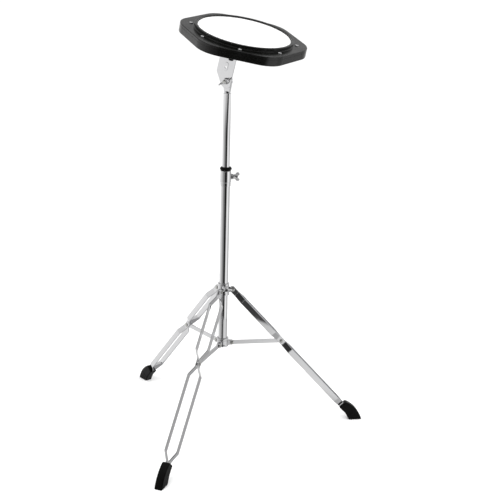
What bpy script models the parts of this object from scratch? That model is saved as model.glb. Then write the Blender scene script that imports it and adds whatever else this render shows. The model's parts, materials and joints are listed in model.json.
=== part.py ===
"""Practice pad on a double-braced folding tripod stand, built from separate pieces.

Metres, +Z up. The part stands on the floor plane z = 0 and is centred on it by its
bounding box. The first leg points along +X from the mast. Run it with
blender --background --python part.py, or from the text editor.
"""

import bmesh
import bpy
from math import asin, atan2, cos, pi, radians, sin, tan
from mathutils import Matrix, Vector

MM = 0.001
GAP = 0.3 * MM                      # air left between neighbouring pieces

# ---- mast ---------------------------------------------------------------
LOWER_TUBE_R = 9.525 * MM           # 3/4 in tube
UPPER_TUBE_R = 7.95 * MM            # 5/8 in tube
TUBE_WALL = 1.2 * MM
LOWER_TUBE_Z = (204 * MM, 579 * MM)
UPPER_TUBE_Z = (368 * MM, 741 * MM)
HEIGHT_COLLAR_Z = (547 * MM, 580 * MM)
HEIGHT_COLLAR_R = 11.6 * MM
BUSH_TOP = 587.5 * MM
BUSH_R = 12.4 * MM                  # at its pointed edge, half-way up
BUSH_FACE_R = 10.4 * MM
BUSH_EDGE = 1.8 * MM                # height of the band at its edge
HEIGHT_BOLT_Z = 567 * MM
HEIGHT_BOLT_TURN = radians(-7.6)
HEIGHT_BOLT_ROLL = radians(-55)     # turn of its wings about its own axis

# ---- leg hub and stay collar --------------------------------------------
LEG_COUNT = 3
HUB_Z = (307 * MM, 333 * MM)
HUB_R = 12.6 * MM
HUB_BOLT_Z = 325.5 * MM
HUB_BOLT_TURN = radians(-85)
LEG_PIVOT_R = 19.5 * MM             # radius of the leg pivots from the mast axis
LEG_PIVOT_Z = 318 * MM
STAY_PIVOT_R = 20 * MM
STAY_COLLAR_R = 13 * MM
EAR_THICKNESS = 3.0 * MM

# ---- legs -----------------------------------------------------------------
LEG_END_R = 276 * MM                # where the straps' centre line meets the foot
LEG_END_Z = 33 * MM
STAY_JOINT_S = 164.5 * MM           # distance down the leg to the stay's rivet
STRAP_WIDTH = 12.7 * MM
STRAP_THICKNESS = 2.2 * MM
STRAP_SPREAD = 13.2 * MM            # half the distance between strap centres where open
STRAP_END_S = 398 * MM
FOOT_WIDTH = 17 * MM
FOOT_TOP_S = 380 * MM               # the boot's side outline, down the leg and out from it
FOOT_TOE_S = 445 * MM
FOOT_HEEL = (400 * MM, -6.8 * MM)   # corner of its back, which faces the mast
FOOT_BACK_OUT = (-7.7 * MM, -16.5 * MM)
FOOT_CROWN = (408 * MM, 17.5 * MM)  # highest point of its arched front
FOOT_CROWN_R = 68 * MM
RIVET_R = 2.2 * MM
RIVET_HEAD_R = 4.0 * MM
RIVET_HEAD = 1.4 * MM

# ---- stays ----------------------------------------------------------------
STAY_WIDTH = 9 * MM
STAY_THICKNESS = 3 * MM

# ---- tilter ---------------------------------------------------------------
STEM_R = 6.1 * MM
STEM_LOW = 690 * MM                 # foot of the stem, inside the upper tube
STEM_FLAT = 24 * MM                 # length of the flattened part below the pivot
STEM_EAR = 6 * MM                   # thickness of the flattened top of the stem
STEM_EAR_R = 11 * MM
PIVOT_Z = 766 * MM
SWIVEL_AT_REST = radians(-33.6)     # turn of the tilter about the mast
TILT_AT_REST = radians(13.3)        # lean of the bracket about its pivot
FLANGE_BEND = radians(4.7)          # how far past square the flange is bent
BRACKET_T = 2.5 * MM
BRACKET_TOP_WIDTH = 37 * MM
BRACKET_LOW_R = 14.5 * MM
BRACKET_OFFSET = -8 * MM            # its wide upper part stands this far to one side
BRACKET_RISE = 71 * MM              # pivot to the top face of the flange
MOUNT_BACK = 28.6 * MM              # mast axis back to the pad's bolt
FLANGE_TAIL = 15 * MM               # flange beyond the bolt
PIVOT_BOLT_R = 3 * MM

# ---- pad ------------------------------------------------------------------
PAD_TURN = radians(22.7)            # turn of the pad on its bolt
HEX_APOTHEM = 120.6 * MM
HEX_CORNER_R = 55 * MM
BASE_H = 13 * MM
BASE_FLOOR = 3 * MM
BASE_WALL = 4 * MM
RIM_Z = (BASE_H + GAP, 18.9 * MM)
RIM_RING_R = (96.5 * MM, 102 * MM)
RIM_TOP = 26.3 * MM
HEAD_TOP = 23.3 * MM
HEAD_THICKNESS = 0.5 * MM
HEAD_FLAT_R = 95.6 * MM             # the film is flat out to here, over the bearing edge
HEAD_R = 97.9 * MM                  # and slopes down to here, inside the flesh hoop
BEARING_R = (91.2 * MM, 94.8 * MM)
FLESH_HOOP_R = (98.6 * MM, 101.3 * MM)
FLESH_HOOP_Z = (10 * MM, 14 * MM)
SCREW_CIRCLE_R = 108.6 * MM
SCREW_COUNT = 8
SCREW_R = 2 * MM
SCREW_HEAD_R = 3.9 * MM
SCREW_HEAD = 2.2 * MM
PAD_FOOT_CIRCLE_R = 106 * MM
PAD_FOOT_R = 6 * MM
PAD_FOOT_H = 6.5 * MM
PAD_FOOT_COUNT = 3
PAD_FOOT_TURN = radians(-97)
INSERT_R = 9 * MM
MOUNT_BOLT_R = 4 * MM
WASHER_T = 1.4 * MM

# Worked out from the sizes above.
LEG_SLOPE = atan2(LEG_PIVOT_Z - LEG_END_Z, LEG_END_R - LEG_PIVOT_R)
STAY_PIVOT_Z = LEG_PIVOT_Z - STAY_JOINT_S * sin(LEG_SLOPE)
STAY_LENGTH = LEG_PIVOT_R + STAY_JOINT_S * cos(LEG_SLOPE) - STAY_PIVOT_R
STAY_COLLAR_Z = (STAY_PIVOT_Z - 7 * MM, STAY_PIVOT_Z + 12 * MM)
STRAP_INNER = EAR_THICKNESS / 2 + GAP + STRAP_THICKNESS / 2

COLOURS = {
    "chrome": ((0.78, 0.78, 0.79), 0.12, 1.0),
    "black_plastic": ((0.018, 0.018, 0.017), 0.35, 0.0),
    "white_film": ((0.86, 0.86, 0.85), 0.55, 0.0),
    "foam": ((0.12, 0.12, 0.12), 0.95, 0.0),
    "aluminium": ((0.70, 0.71, 0.72), 0.35, 1.0),
    "rubber": ((0.022, 0.022, 0.022), 0.75, 0.0),
    "nylon": ((0.03, 0.03, 0.03), 0.45, 0.0),
    "zinc_steel": ((0.62, 0.62, 0.60), 0.3, 1.0),
}


# ---- scene helpers --------------------------------------------------------
def clear_scene():
    for obj in list(bpy.data.objects):
        bpy.data.objects.remove(obj, do_unlink=True)
    for collection in list(bpy.data.collections):
        bpy.data.collections.remove(collection)


def make_collection(name):
    collection = bpy.data.collections.new(name)
    bpy.context.scene.collection.children.link(collection)
    return collection


def make_materials():
    made = {}
    for name, (colour, roughness, metallic) in COLOURS.items():
        material = bpy.data.materials.new(name)
        material.use_nodes = True
        shader = material.node_tree.nodes["Principled BSDF"]
        shader.inputs["Base Color"].default_value = (*colour, 1)
        shader.inputs["Roughness"].default_value = roughness
        shader.inputs["Metallic"].default_value = metallic
        made[name] = material
    return made


clear_scene()
PARTS = make_collection("practice_pad_stand")
CUTTERS = make_collection("cutters")
CUTTERS.hide_render = True
MATERIALS = make_materials()


def link_part(obj, finish, parent):
    """Put a finished piece in the part's collection, with its material and its frame."""
    PARTS.objects.link(obj)
    obj.data.materials.append(MATERIALS[finish])
    obj.parent = parent
    return obj


def link_tool(obj, parent):
    """Put a helper shape, one that cuts or is joined, in the cutters' collection."""
    CUTTERS.objects.link(obj)
    obj.hide_render = True
    obj.display_type = "WIRE"
    obj.parent = parent
    return obj


def empty(name, parent=None, location=(0, 0, 0), rotation=(0, 0, 0)):
    frame = bpy.data.objects.new(name, None)
    PARTS.objects.link(frame)
    frame.empty_display_size = 0.02
    frame.parent = parent
    frame.location = location
    frame.rotation_euler = rotation
    return frame


def mesh_object(name, shape):
    """Turn a bmesh into an object and free it."""
    mesh = bpy.data.meshes.new(name)
    shape.to_mesh(mesh)
    shape.free()
    return bpy.data.objects.new(name, mesh)


def cylinder(name, radius, start, end, axis="Z", steps=24, top_radius=None):
    """A cylinder or cone frustum from start to end along a local axis."""
    shape = bmesh.new()
    tip = radius if top_radius is None else top_radius
    bmesh.ops.create_cone(
        shape, cap_ends=True, segments=steps, radius1=radius, radius2=tip, depth=end - start
    )
    bmesh.ops.translate(shape, verts=shape.verts, vec=(0, 0, (start + end) / 2))
    turn = {"X": Matrix.Rotation(pi / 2, 4, "Y"), "Y": Matrix.Rotation(-pi / 2, 4, "X")}
    if axis in turn:
        bmesh.ops.transform(shape, matrix=turn[axis], verts=shape.verts)
    return mesh_object(name, shape)


def box(name, low, high):
    """A box from its lowest to its highest corner."""
    shape = bmesh.new()
    bmesh.ops.create_cube(shape, size=1)
    size = Vector(high) - Vector(low)
    bmesh.ops.scale(shape, vec=size, verts=shape.verts)
    bmesh.ops.translate(shape, vec=(Vector(high) + Vector(low)) / 2, verts=shape.verts)
    return mesh_object(name, shape)


def turned(name, profile, steps=48):
    """A ring turned about Z from (radius, z) points that run down its outer side."""
    mesh = bpy.data.meshes.new(name)
    points = [(radius, 0, z) for radius, z in profile]
    count = len(points)
    on_axis = profile[0][0] == 0 and profile[-1][0] == 0
    edges = [(i, i + 1) for i in range(count - 1)]
    if not on_axis:
        edges.append((count - 1, 0))
    mesh.from_pydata(points, edges, [])
    obj = bpy.data.objects.new(name, mesh)
    screw = obj.modifiers.new("turn", "SCREW")
    screw.axis = "Z"
    screw.angle = 2 * pi
    screw.steps = steps
    screw.render_steps = steps
    screw.use_merge_vertices = True
    screw.merge_threshold = 0.00001
    screw.use_normal_calculate = False
    return obj


def ring_profile(inner, outer, low, high):
    """The four corners of a plain ring, down the outer side and up the inner one."""
    return [(outer, high), (outer, low), (inner, low), (inner, high)]


def outline_solid(name, loops, low, high):
    """A mesh prism over closed outlines in XY, the first one outside and the rest holes."""
    curve = bpy.data.curves.new(name, "CURVE")
    curve.dimensions = "2D"
    curve.fill_mode = "BOTH"
    curve.extrude = (high - low) / 2
    for loop in loops:
        spline = curve.splines.new("POLY")
        spline.points.add(len(loop) - 1)
        for point, (x, y) in zip(spline.points, loop):
            point.co = (x, y, 0, 1)
        spline.use_cyclic_u = True
    guide = bpy.data.objects.new(name + "_outline", curve)
    bpy.context.scene.collection.objects.link(guide)
    graph = bpy.context.evaluated_depsgraph_get()
    mesh = bpy.data.meshes.new_from_object(guide.evaluated_get(graph))
    bpy.data.objects.remove(guide, do_unlink=True)
    shape = bmesh.new()
    shape.from_mesh(mesh)
    bpy.data.meshes.remove(mesh)
    bmesh.ops.remove_doubles(shape, verts=shape.verts, dist=0.000005)
    bmesh.ops.recalc_face_normals(shape, faces=shape.faces)
    bmesh.ops.translate(shape, vec=(0, 0, (low + high) / 2), verts=shape.verts)
    return mesh_object(name, shape)


def combine(obj, tool, operation):
    """Add a Boolean of one helper shape to a piece."""
    change = obj.modifiers.new(operation.lower() + "_" + tool.name, "BOOLEAN")
    change.object = tool
    change.operation = operation
    change.solver = "EXACT"
    return obj


def cut(obj, tool):
    return combine(obj, link_tool(tool, obj.parent), "DIFFERENCE")


def add(obj, tool):
    return combine(obj, link_tool(tool, obj.parent), "UNION")


def keep_inside(obj, tool):
    return combine(obj, link_tool(tool, obj.parent), "INTERSECT")


def turn_mesh(obj, matrix):
    """Move the points of a helper or a piece within its frame."""
    obj.data.transform(matrix)
    return obj


def arc(centre, radius, start, end, steps):
    """Points along an arc, both ends included."""
    angles = [start + (end - start) * i / steps for i in range(steps + 1)]
    return [(centre[0] + radius * cos(a), centre[1] + radius * sin(a)) for a in angles]


def rounded_strip(start, end, width, steps=8):
    """The outline of a flat bar with half-round ends at start and end."""
    half = width / 2
    return (arc((end, 0), half, -pi / 2, pi / 2, steps)
            + arc((start, 0), half, pi / 2, 3 * pi / 2, steps))


def filleted(path, radius, steps=3):
    """An open path with each inner corner rounded by an arc of the given radius."""
    made = [Vector(path[0])]
    for before, corner, after in zip(path, path[1:], path[2:]):
        corner = Vector(corner)
        back = (Vector(before) - corner).normalized()
        on = (Vector(after) - corner).normalized()
        half_angle = back.angle(on) / 2
        reach = radius / tan(half_angle)
        centre = corner + (back + on).normalized() * radius / sin(half_angle)
        first = corner + back * reach - centre
        swing = first.angle_signed(corner + on * reach - centre)
        for i in range(steps + 1):
            turn = Matrix.Rotation(-swing * i / steps, 2)
            made.append(centre + turn @ first)
    made.append(Vector(path[-1]))
    return made


def thickened(path, thickness):
    """The closed outline of an open path given a thickness, half to each side."""
    left = []
    right = []
    for i, point in enumerate(path):
        along = path[min(i + 1, len(path) - 1)] - path[max(i - 1, 0)]
        normal = Vector((-along.y, along.x)).normalized() * thickness / 2
        left.append(tuple(point + normal))
        right.append(tuple(point - normal))
    return right + left[::-1]


# ---- pieces that are used more than once -----------------------------------
def wing_bolt(name, parent, start, seat, shaft_r, finish="chrome", steps=16):
    """A bolt along +X with a two-winged head; start is its tip and seat the head's foot."""
    bolt = link_part(cylinder(name, shaft_r, start, seat + 1 * MM, "X", 12), finish, parent)
    head = cylinder(name + "_head", 5.2 * MM, seat, seat + 9 * MM, "X", steps, 3.8 * MM)
    add(bolt, head)
    wings = []
    for side in (-1, 1):
        root = (seat + 4 * MM, side * 2 * MM)
        tip = (seat + 8.5 * MM, side * 8.6 * MM)
        angle = atan2(tip[1] - root[1], tip[0] - root[0])
        outline = (arc(tip, 4.2 * MM, angle - pi / 2, angle + pi / 2, 8)
                   + arc(root, 3.2 * MM, angle + pi / 2, angle + 3 * pi / 2, 3))
        wings.append(outline)
    for side, outline in zip(("a", "b"), wings):
        add(bolt, outline_solid(name + "_wing_" + side, [outline], -1.3 * MM, 1.3 * MM))
    return bolt


def rivet(name, parent, location, half_length, finish="zinc_steel"):
    """A rivet across a leg or stay, along local Y, with a domed head at each end."""
    top = half_length + RIVET_HEAD
    profile = [
        (0, top), (RIVET_HEAD_R * 0.7, top), (RIVET_HEAD_R, half_length), (RIVET_R, half_length),
        (RIVET_R, -half_length), (RIVET_HEAD_R, -half_length), (RIVET_HEAD_R * 0.7, -top), (0, -top),
    ]
    made = link_part(turned(name, profile, 12), finish, parent)
    made.location = location
    made.rotation_euler = (pi / 2, 0, 0)
    return made


def half_rivet(name, parent, location, side, inner, outer, finish="zinc_steel"):
    """One end of a rivet: a head outside a strap and a shank through it."""
    top = outer + RIVET_HEAD
    profile = [
        (0, top), (RIVET_HEAD_R * 0.7, top), (RIVET_HEAD_R, outer), (RIVET_R, outer),
        (RIVET_R, inner), (0, inner),
    ]
    made = link_part(turned(name, profile, 12), finish, parent)
    made.location = location
    made.rotation_euler = (-side * pi / 2, 0, 0)
    return made


# ---- mast -----------------------------------------------------------------
def build_mast(mast):
    lower = ring_profile(LOWER_TUBE_R - TUBE_WALL, LOWER_TUBE_R, *LOWER_TUBE_Z)
    link_part(turned("lower_tube", lower, 32), "chrome", mast)
    upper = ring_profile(UPPER_TUBE_R - TUBE_WALL, UPPER_TUBE_R, *UPPER_TUBE_Z)
    link_part(turned("upper_tube", upper, 32), "chrome", mast)
    plug_r = LOWER_TUBE_R - TUBE_WALL - GAP
    low = LOWER_TUBE_Z[0]
    profile = [
        (0, low + 8 * MM), (plug_r, low + 8 * MM), (plug_r, low - GAP),
        (LOWER_TUBE_R, low - GAP), (LOWER_TUBE_R, low - 3 * MM), (0, low - 3 * MM),
    ]
    link_part(turned("tube_end_plug", profile, 18), "nylon", mast)


def build_height_clamp(mast):
    bore = LOWER_TUBE_R + GAP
    low, high = HEIGHT_COLLAR_Z
    edge = 1 * MM
    profile = [
        (HEIGHT_COLLAR_R - edge, high), (HEIGHT_COLLAR_R, high - edge),
        (HEIGHT_COLLAR_R, low + edge), (HEIGHT_COLLAR_R - edge, low), (bore, low), (bore, high),
    ]
    collar = link_part(turned("height_collar", profile, 28), "chrome", mast)
    bolt_turn = (HEIGHT_BOLT_ROLL, 0, HEIGHT_BOLT_TURN)
    bolt_frame = empty("height_bolt_axis", mast, (0, 0, HEIGHT_BOLT_Z), bolt_turn)
    boss = cylinder("height_boss", 6 * MM, bore + 0.6 * MM, HEIGHT_COLLAR_R + 4.4 * MM, "X", 20)
    hole = cylinder("height_boss_hole", 3 * MM + GAP, 5 * MM, 30 * MM, "X", 16)
    for tool in (boss, hole):
        turn_mesh(tool, Matrix.Translation((0, 0, HEIGHT_BOLT_Z))
                  @ Matrix.Rotation(HEIGHT_BOLT_TURN, 4, "Z"))
    add(collar, boss)
    cut(collar, hole)
    seat = HEIGHT_COLLAR_R + 4.4 * MM + GAP
    wing_bolt("height_wing_bolt", bolt_frame, LOWER_TUBE_R + GAP, seat, 3 * MM)
    bush_bore = UPPER_TUBE_R + GAP
    bush_low = high + GAP
    edge_low = (bush_low + BUSH_TOP - BUSH_EDGE) / 2
    bush = [
        (BUSH_FACE_R, BUSH_TOP), (BUSH_R, edge_low + BUSH_EDGE), (BUSH_R, edge_low),
        (BUSH_FACE_R, bush_low), (bush_bore, bush_low), (bush_bore, BUSH_TOP),
    ]
    link_part(turned("height_bush", bush, 28), "nylon", mast)


# ---- leg hub, stay collar and their bolts ------------------------------------
def ear_outline(pivot_r, reach, height):
    """A side outline of an ear, from inside the collar's wall round the pivot."""
    return ([(LOWER_TUBE_R + 1.4 * MM, -height / 2)]
            + arc((pivot_r, 0), reach, -pi / 2, pi / 2, 6)
            + [(LOWER_TUBE_R + 1.4 * MM, height / 2)])


def upright(z, turn):
    """Stand an XY outline up in the plane through the mast at this turn and height."""
    return (Matrix.Translation((0, 0, z)) @ Matrix.Rotation(turn, 4, "Z")
            @ Matrix.Rotation(pi / 2, 4, "X"))


def build_collar(name, parent, radius, span, pivot_r, pivot_z, ear_half, reach):
    """A collar round the lower tube with one ear for each leg."""
    bore = LOWER_TUBE_R + GAP
    edge = 1 * MM
    low, high = span
    profile = [
        (radius - edge, high), (radius, high - edge), (radius, low + edge),
        (radius - edge, low), (bore, low), (bore, high),
    ]
    collar = link_part(turned(name, profile, 28), "chrome", parent)
    for leg in range(LEG_COUNT):
        turn = 2 * pi * leg / LEG_COUNT
        shape = ear_outline(pivot_r, reach, 2 * reach)
        ear = outline_solid(f"{name}_ear_{leg + 1}", [shape], -ear_half, ear_half)
        add(collar, turn_mesh(ear, upright(pivot_z, turn)))
        hole = cylinder(f"{name}_ear_hole_{leg + 1}", RIVET_R + GAP, -12 * MM, 12 * MM, "Z", 12)
        turn_mesh(hole, Matrix.Translation((pivot_r, 0, 0)))
        cut(collar, turn_mesh(hole, upright(pivot_z, turn)))
    return collar


def build_hub(mast):
    hub = build_collar(
        "leg_hub", mast, HUB_R, HUB_Z, LEG_PIVOT_R, LEG_PIVOT_Z, EAR_THICKNESS / 2, 5.4 * MM
    )
    place = (Matrix.Translation((0, 0, HUB_BOLT_Z)) @ Matrix.Rotation(HUB_BOLT_TURN, 4, "Z"))
    boss_end = HUB_R + 7 * MM
    boss = cylinder("hub_boss", 5.6 * MM, LOWER_TUBE_R + 1.2 * MM, boss_end, "X", 20)
    hole = cylinder("hub_boss_hole", 3 * MM + GAP, 5 * MM, 30 * MM, "X", 16)
    add(hub, turn_mesh(boss, place))
    cut(hub, turn_mesh(hole, place))
    axis = empty("hub_bolt_axis", mast, (0, 0, HUB_BOLT_Z), (0, 0, HUB_BOLT_TURN))
    wing_bolt("hub_wing_bolt", axis, LOWER_TUBE_R + GAP, boss_end + GAP, 3 * MM)


def build_stay_collar(mast):
    slot_half = STAY_THICKNESS / 2 + GAP
    collar = build_collar(
        "stay_collar", mast, STAY_COLLAR_R, STAY_COLLAR_Z, STAY_PIVOT_R, STAY_PIVOT_Z,
        slot_half + 2 * MM, 5 * MM
    )
    for leg in range(LEG_COUNT):
        turn = 2 * pi * leg / LEG_COUNT
        slot = box(f"stay_slot_{leg + 1}", (STAY_COLLAR_R + 0.6 * MM, -slot_half, -12 * MM),
                   (STAY_PIVOT_R + 12 * MM, slot_half, 12 * MM))
        place = Matrix.Translation((0, 0, STAY_PIVOT_Z)) @ Matrix.Rotation(turn, 4, "Z")
        cut(collar, turn_mesh(slot, place))


# ---- legs and stays ---------------------------------------------------------
def strap_path(side):
    """The strap's bends in (distance down the leg, sideways) for one side."""
    near = side * STRAP_INNER
    wide = side * STRAP_SPREAD
    joint = STAY_JOINT_S
    stations = [
        (-10 * MM, near), (14 * MM, near), (32 * MM, wide),
        (joint - 30 * MM, wide), (joint - 10 * MM, near), (joint + 9 * MM, near),
        (joint + 27 * MM, wide), (FOOT_TOP_S - 24 * MM, wide), (FOOT_TOP_S - 4 * MM, near),
        (STRAP_END_S, near),
    ]
    return filleted(stations, 6 * MM, 2)


def build_strap(name, leg_frame, side):
    half = STRAP_WIDTH / 2
    outline = thickened(strap_path(side), STRAP_THICKNESS)
    strap = link_part(outline_solid(name, [outline], -half, half), "chrome", leg_frame)
    blank = rounded_strip(0, STRAP_END_S - half - 1 * MM, STRAP_WIDTH, 5)
    trim = outline_solid(name + "_blank", [blank], -20 * MM, 20 * MM)
    keep_inside(strap, turn_mesh(trim, Matrix.Rotation(pi / 2, 4, "X")))
    for label, place in (("top", 0), ("stay", STAY_JOINT_S)):
        hole = cylinder(f"{name}_{label}_hole", RIVET_R + GAP, -12 * MM, 12 * MM, "Y", 12)
        cut(strap, turn_mesh(hole, Matrix.Translation((place, 0, 0))))
    return strap


def foot_outline():
    """The boot's side: a bent back, and an arched front round a centre below the leg."""
    crown_s, crown_out = FOOT_CROWN
    toe_angle = asin((FOOT_TOE_S - crown_s) / FOOT_CROWN_R)
    top_angle = asin((FOOT_TOP_S - crown_s) / FOOT_CROWN_R)
    back = [(FOOT_TOP_S, FOOT_BACK_OUT[0]), FOOT_HEEL, (FOOT_TOE_S, FOOT_BACK_OUT[1])]
    centre = (crown_s, crown_out - FOOT_CROWN_R)
    return back + arc(centre, FOOT_CROWN_R, pi / 2 - toe_angle, pi / 2 - top_angle, 7)


def build_foot(name, leg_frame):
    """A rubber boot on the straps' ends, with a level sole on the floor."""
    half = FOOT_WIDTH / 2
    foot = outline_solid(name, [foot_outline()], -half, half)
    foot = link_part(turn_mesh(foot, Matrix.Rotation(pi / 2, 4, "X")), "rubber", leg_frame)
    edge = foot.modifiers.new("soft_edges", "BEVEL")
    edge.width = 2 * MM
    edge.segments = 2
    edge.limit_method = "ANGLE"
    room = STRAP_INNER + STRAP_THICKNESS / 2 + GAP
    depth = STRAP_WIDTH / 2 + GAP
    cut(foot, box(name + "_socket", (FOOT_TOP_S - 5 * MM, -room, -depth),
                  (STRAP_END_S + GAP, room, depth)))
    reach = 80 * MM
    floor = box(name + "_floor", (-reach, -reach, -reach), (reach, reach, 0))
    contact = Vector((LEG_PIVOT_Z / sin(LEG_SLOPE), 0, 0))
    cut(foot, turn_mesh(floor, Matrix.Translation(contact) @ Matrix.Rotation(-LEG_SLOPE, 4, "Y")))
    return foot


def build_leg(mast, number):
    turn = 2 * pi * (number - 1) / LEG_COUNT
    place = (LEG_PIVOT_R * cos(turn), LEG_PIVOT_R * sin(turn), LEG_PIVOT_Z)
    frame = empty(f"leg_{number}_axis", mast, place, (0, LEG_SLOPE, turn))
    build_strap(f"leg_{number}_strap_left", frame, 1)
    build_strap(f"leg_{number}_strap_right", frame, -1)
    build_foot(f"leg_{number}_foot", frame)
    outer = STRAP_INNER + STRAP_THICKNESS / 2 + GAP
    rivet(f"leg_{number}_hub_rivet", frame, (0, 0, 0), outer)
    joint = (STAY_JOINT_S, 0, 0)
    inner = STRAP_INNER - STRAP_THICKNESS / 2
    half_rivet(f"leg_{number}_stay_rivet_left", frame, joint, 1, inner, outer)
    half_rivet(f"leg_{number}_stay_rivet_right", frame, joint, -1, inner, outer)


def build_stay(mast, number):
    turn = 2 * pi * (number - 1) / LEG_COUNT
    place = (STAY_PIVOT_R * cos(turn), STAY_PIVOT_R * sin(turn), STAY_PIVOT_Z)
    frame = empty(f"stay_{number}_axis", mast, place, (0, 0, turn))
    half = STAY_THICKNESS / 2
    holes = [arc((at, 0), RIVET_R + GAP, 0, 2 * pi * 15 / 16, 15) for at in (0, STAY_LENGTH)]
    shape = outline_solid(
        f"stay_{number}", [rounded_strip(0, STAY_LENGTH, STAY_WIDTH)] + holes, -half, half
    )
    link_part(turn_mesh(shape, Matrix.Rotation(pi / 2, 4, "X")), "chrome", frame)
    rivet(f"stay_{number}_collar_rivet", frame, (0, 0, 0), half + GAP + 2 * MM + GAP)


# ---- tilter -----------------------------------------------------------------
def build_stem(tilter):
    """The rod that stands in the upper tube, flattened into an ear round the pivot."""
    stem = link_part(
        cylinder("tilter_stem", STEM_R, STEM_LOW, PIVOT_Z - STEM_FLAT + 2 * MM, "Z", 28),
        "chrome", tilter
    )
    half = STEM_EAR / 2
    outline = ([(-STEM_R, -STEM_FLAT), (STEM_R, -STEM_FLAT)]
               + arc((0, 0), STEM_EAR_R, -0.55, pi + 0.55, 14))
    ear = outline_solid("stem_ear", [outline], -half, half)
    stand = Matrix.Translation((0, 0, PIVOT_Z)) @ Matrix.Rotation(pi / 2, 4, "X")
    add(stem, turn_mesh(ear, stand))
    hole = cylinder("stem_hole", PIVOT_BOLT_R + GAP, -20 * MM, 20 * MM, "Y", 18)
    cut(stem, turn_mesh(hole, Matrix.Translation((0, 0, PIVOT_Z))))


def build_pivot(pivot):
    """The tilter's bolt through the ear and the bracket, and its wing nut in front."""
    back = STEM_EAR / 2 + GAP
    front = STEM_EAR / 2 + GAP + BRACKET_T + GAP
    thread_end = front + 13 * MM
    bolt = link_part(
        cylinder("tilter_bolt", PIVOT_BOLT_R, -back - 1 * MM, thread_end, "Y", 18), "zinc_steel",
        pivot
    )
    head = cylinder("tilter_bolt_head", 6 * MM, -back - 4.5 * MM, -back, "Y", 6)
    add(bolt, head)
    turn_mesh(bolt, Matrix.Rotation(pi, 4, "Z"))
    turn_mesh(bpy.data.objects["tilter_bolt_head"], Matrix.Rotation(pi, 4, "Z"))
    nut_frame = empty("tilter_nut_axis", pivot, (0, -front, 0), (0, 0, -pi / 2))
    nut = link_part(
        cylinder("tilter_wing_nut", 6.6 * MM, 0, 8 * MM, "X", 24, 4.9 * MM), "chrome", nut_frame
    )
    for label, side in (("a", -1), ("b", 1)):
        root = (4 * MM, side * 3 * MM)
        tip = (10.5 * MM, side * 9.6 * MM)
        angle = atan2(tip[1] - root[1], tip[0] - root[0])
        outline = (arc(tip, 5 * MM, angle - pi / 2, angle + pi / 2, 8)
                   + arc(root, 3.6 * MM, angle + pi / 2, angle + 3 * pi / 2, 3))
        wing = outline_solid("tilter_nut_wing_" + label, [outline], -1.4 * MM, 1.4 * MM)
        add(nut, wing)
    cut(nut, cylinder("tilter_nut_thread", PIVOT_BOLT_R + GAP, -5 * MM, 30 * MM, "X", 18))
    nut_frame.rotation_euler = (radians(35), 0, -pi / 2)


def build_bracket(bracket):
    """The bent plate: an upright face in front of the ear and a flange under the pad."""
    plate_y = -(STEM_EAR / 2 + GAP)
    left = BRACKET_OFFSET - BRACKET_TOP_WIDTH / 2
    right = BRACKET_OFFSET + BRACKET_TOP_WIDTH / 2
    shoulder = 14 * MM
    plate_top = BRACKET_RISE - 1.2 * MM
    outline = (arc((0, 0), BRACKET_LOW_R, pi + 0.35, 2 * pi - 0.35, 10)
               + [(right, shoulder), (right, plate_top), (left, plate_top), (left, shoulder)])
    plate = outline_solid("tilt_bracket", [outline], 0, BRACKET_T)
    stand = Matrix.Translation((0, plate_y, 0)) @ Matrix.Rotation(pi / 2, 4, "X")
    plate = link_part(turn_mesh(plate, stand), "chrome", bracket)
    corner_y = plate_y - BRACKET_T / 2
    depth = MOUNT_BACK + FLANGE_TAIL - corner_y
    corner = 6 * MM
    flat = [(left, 0), (right, 0)]
    flat += arc((right - corner, depth - corner), corner, 0, pi / 2, 4)
    flat += arc((left + corner, depth - corner), corner, pi / 2, pi, 4)
    flange = outline_solid("bracket_flange", [flat], -BRACKET_T, 0)
    place = (Matrix.Translation((0, corner_y - BRACKET_T / 2, BRACKET_RISE + GAP - 0.4 * MM))
             @ Matrix.Rotation(FLANGE_BEND, 4, "X"))
    add(plate, turn_mesh(flange, place))
    for name, at, radius in (("pivot", (0, 0), PIVOT_BOLT_R + GAP),
                             ("spare", (BRACKET_OFFSET, 27 * MM), 2.2 * MM)):
        hole = cylinder("bracket_hole_" + name, radius, -20 * MM, 20 * MM, "Y", 20)
        cut(plate, turn_mesh(hole, Matrix.Translation((at[0], 0, at[1]))))
    bolt_hole = cylinder("bracket_hole_mount", MOUNT_BOLT_R + GAP, -9 * MM, 6 * MM, "Z", 20)
    cut(plate, turn_mesh(bolt_hole, mount_place()))


def mount_place():
    """Where the pad's bolt stands on the flange's top face, in the bracket's frame."""
    corner_y = -(STEM_EAR / 2 + GAP) - BRACKET_T
    top = Matrix.Translation((0, corner_y, BRACKET_RISE + GAP - 0.4 * MM))
    bend = Matrix.Rotation(FLANGE_BEND, 4, "X")
    return top @ bend @ Matrix.Translation((0, MOUNT_BACK - corner_y, 0))


def build_mount(mount):
    """The pad's bolt and its rubber washer; the mount frame's Z stands on the flange."""
    head = cylinder("mount_bolt_head", 6.6 * MM, -BRACKET_T - GAP - 5 * MM,
                    -BRACKET_T - GAP, "Z", 6)
    bolt = link_part(
        cylinder("mount_bolt", MOUNT_BOLT_R, -BRACKET_T - 2 * MM, 11 * MM, "Z", 20),
        "zinc_steel", mount
    )
    add(bolt, head)
    washer = ring_profile(MOUNT_BOLT_R + GAP, 13 * MM, GAP, GAP + WASHER_T)
    link_part(turned("mount_washer", washer, 28), "rubber", mount)


# ---- pad --------------------------------------------------------------------
def rounded_hexagon(apothem, corner_r, steps=5):
    """A hexagon with a flat side toward -Y and rounded corners."""
    centre_r = (apothem - corner_r) / cos(pi / 6)
    points = []
    for corner in range(6):
        middle = pi / 3 * corner
        centre = (centre_r * cos(middle), centre_r * sin(middle))
        points += arc(centre, corner_r, middle - pi / 6, middle + pi / 6, steps)
    return points


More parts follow.
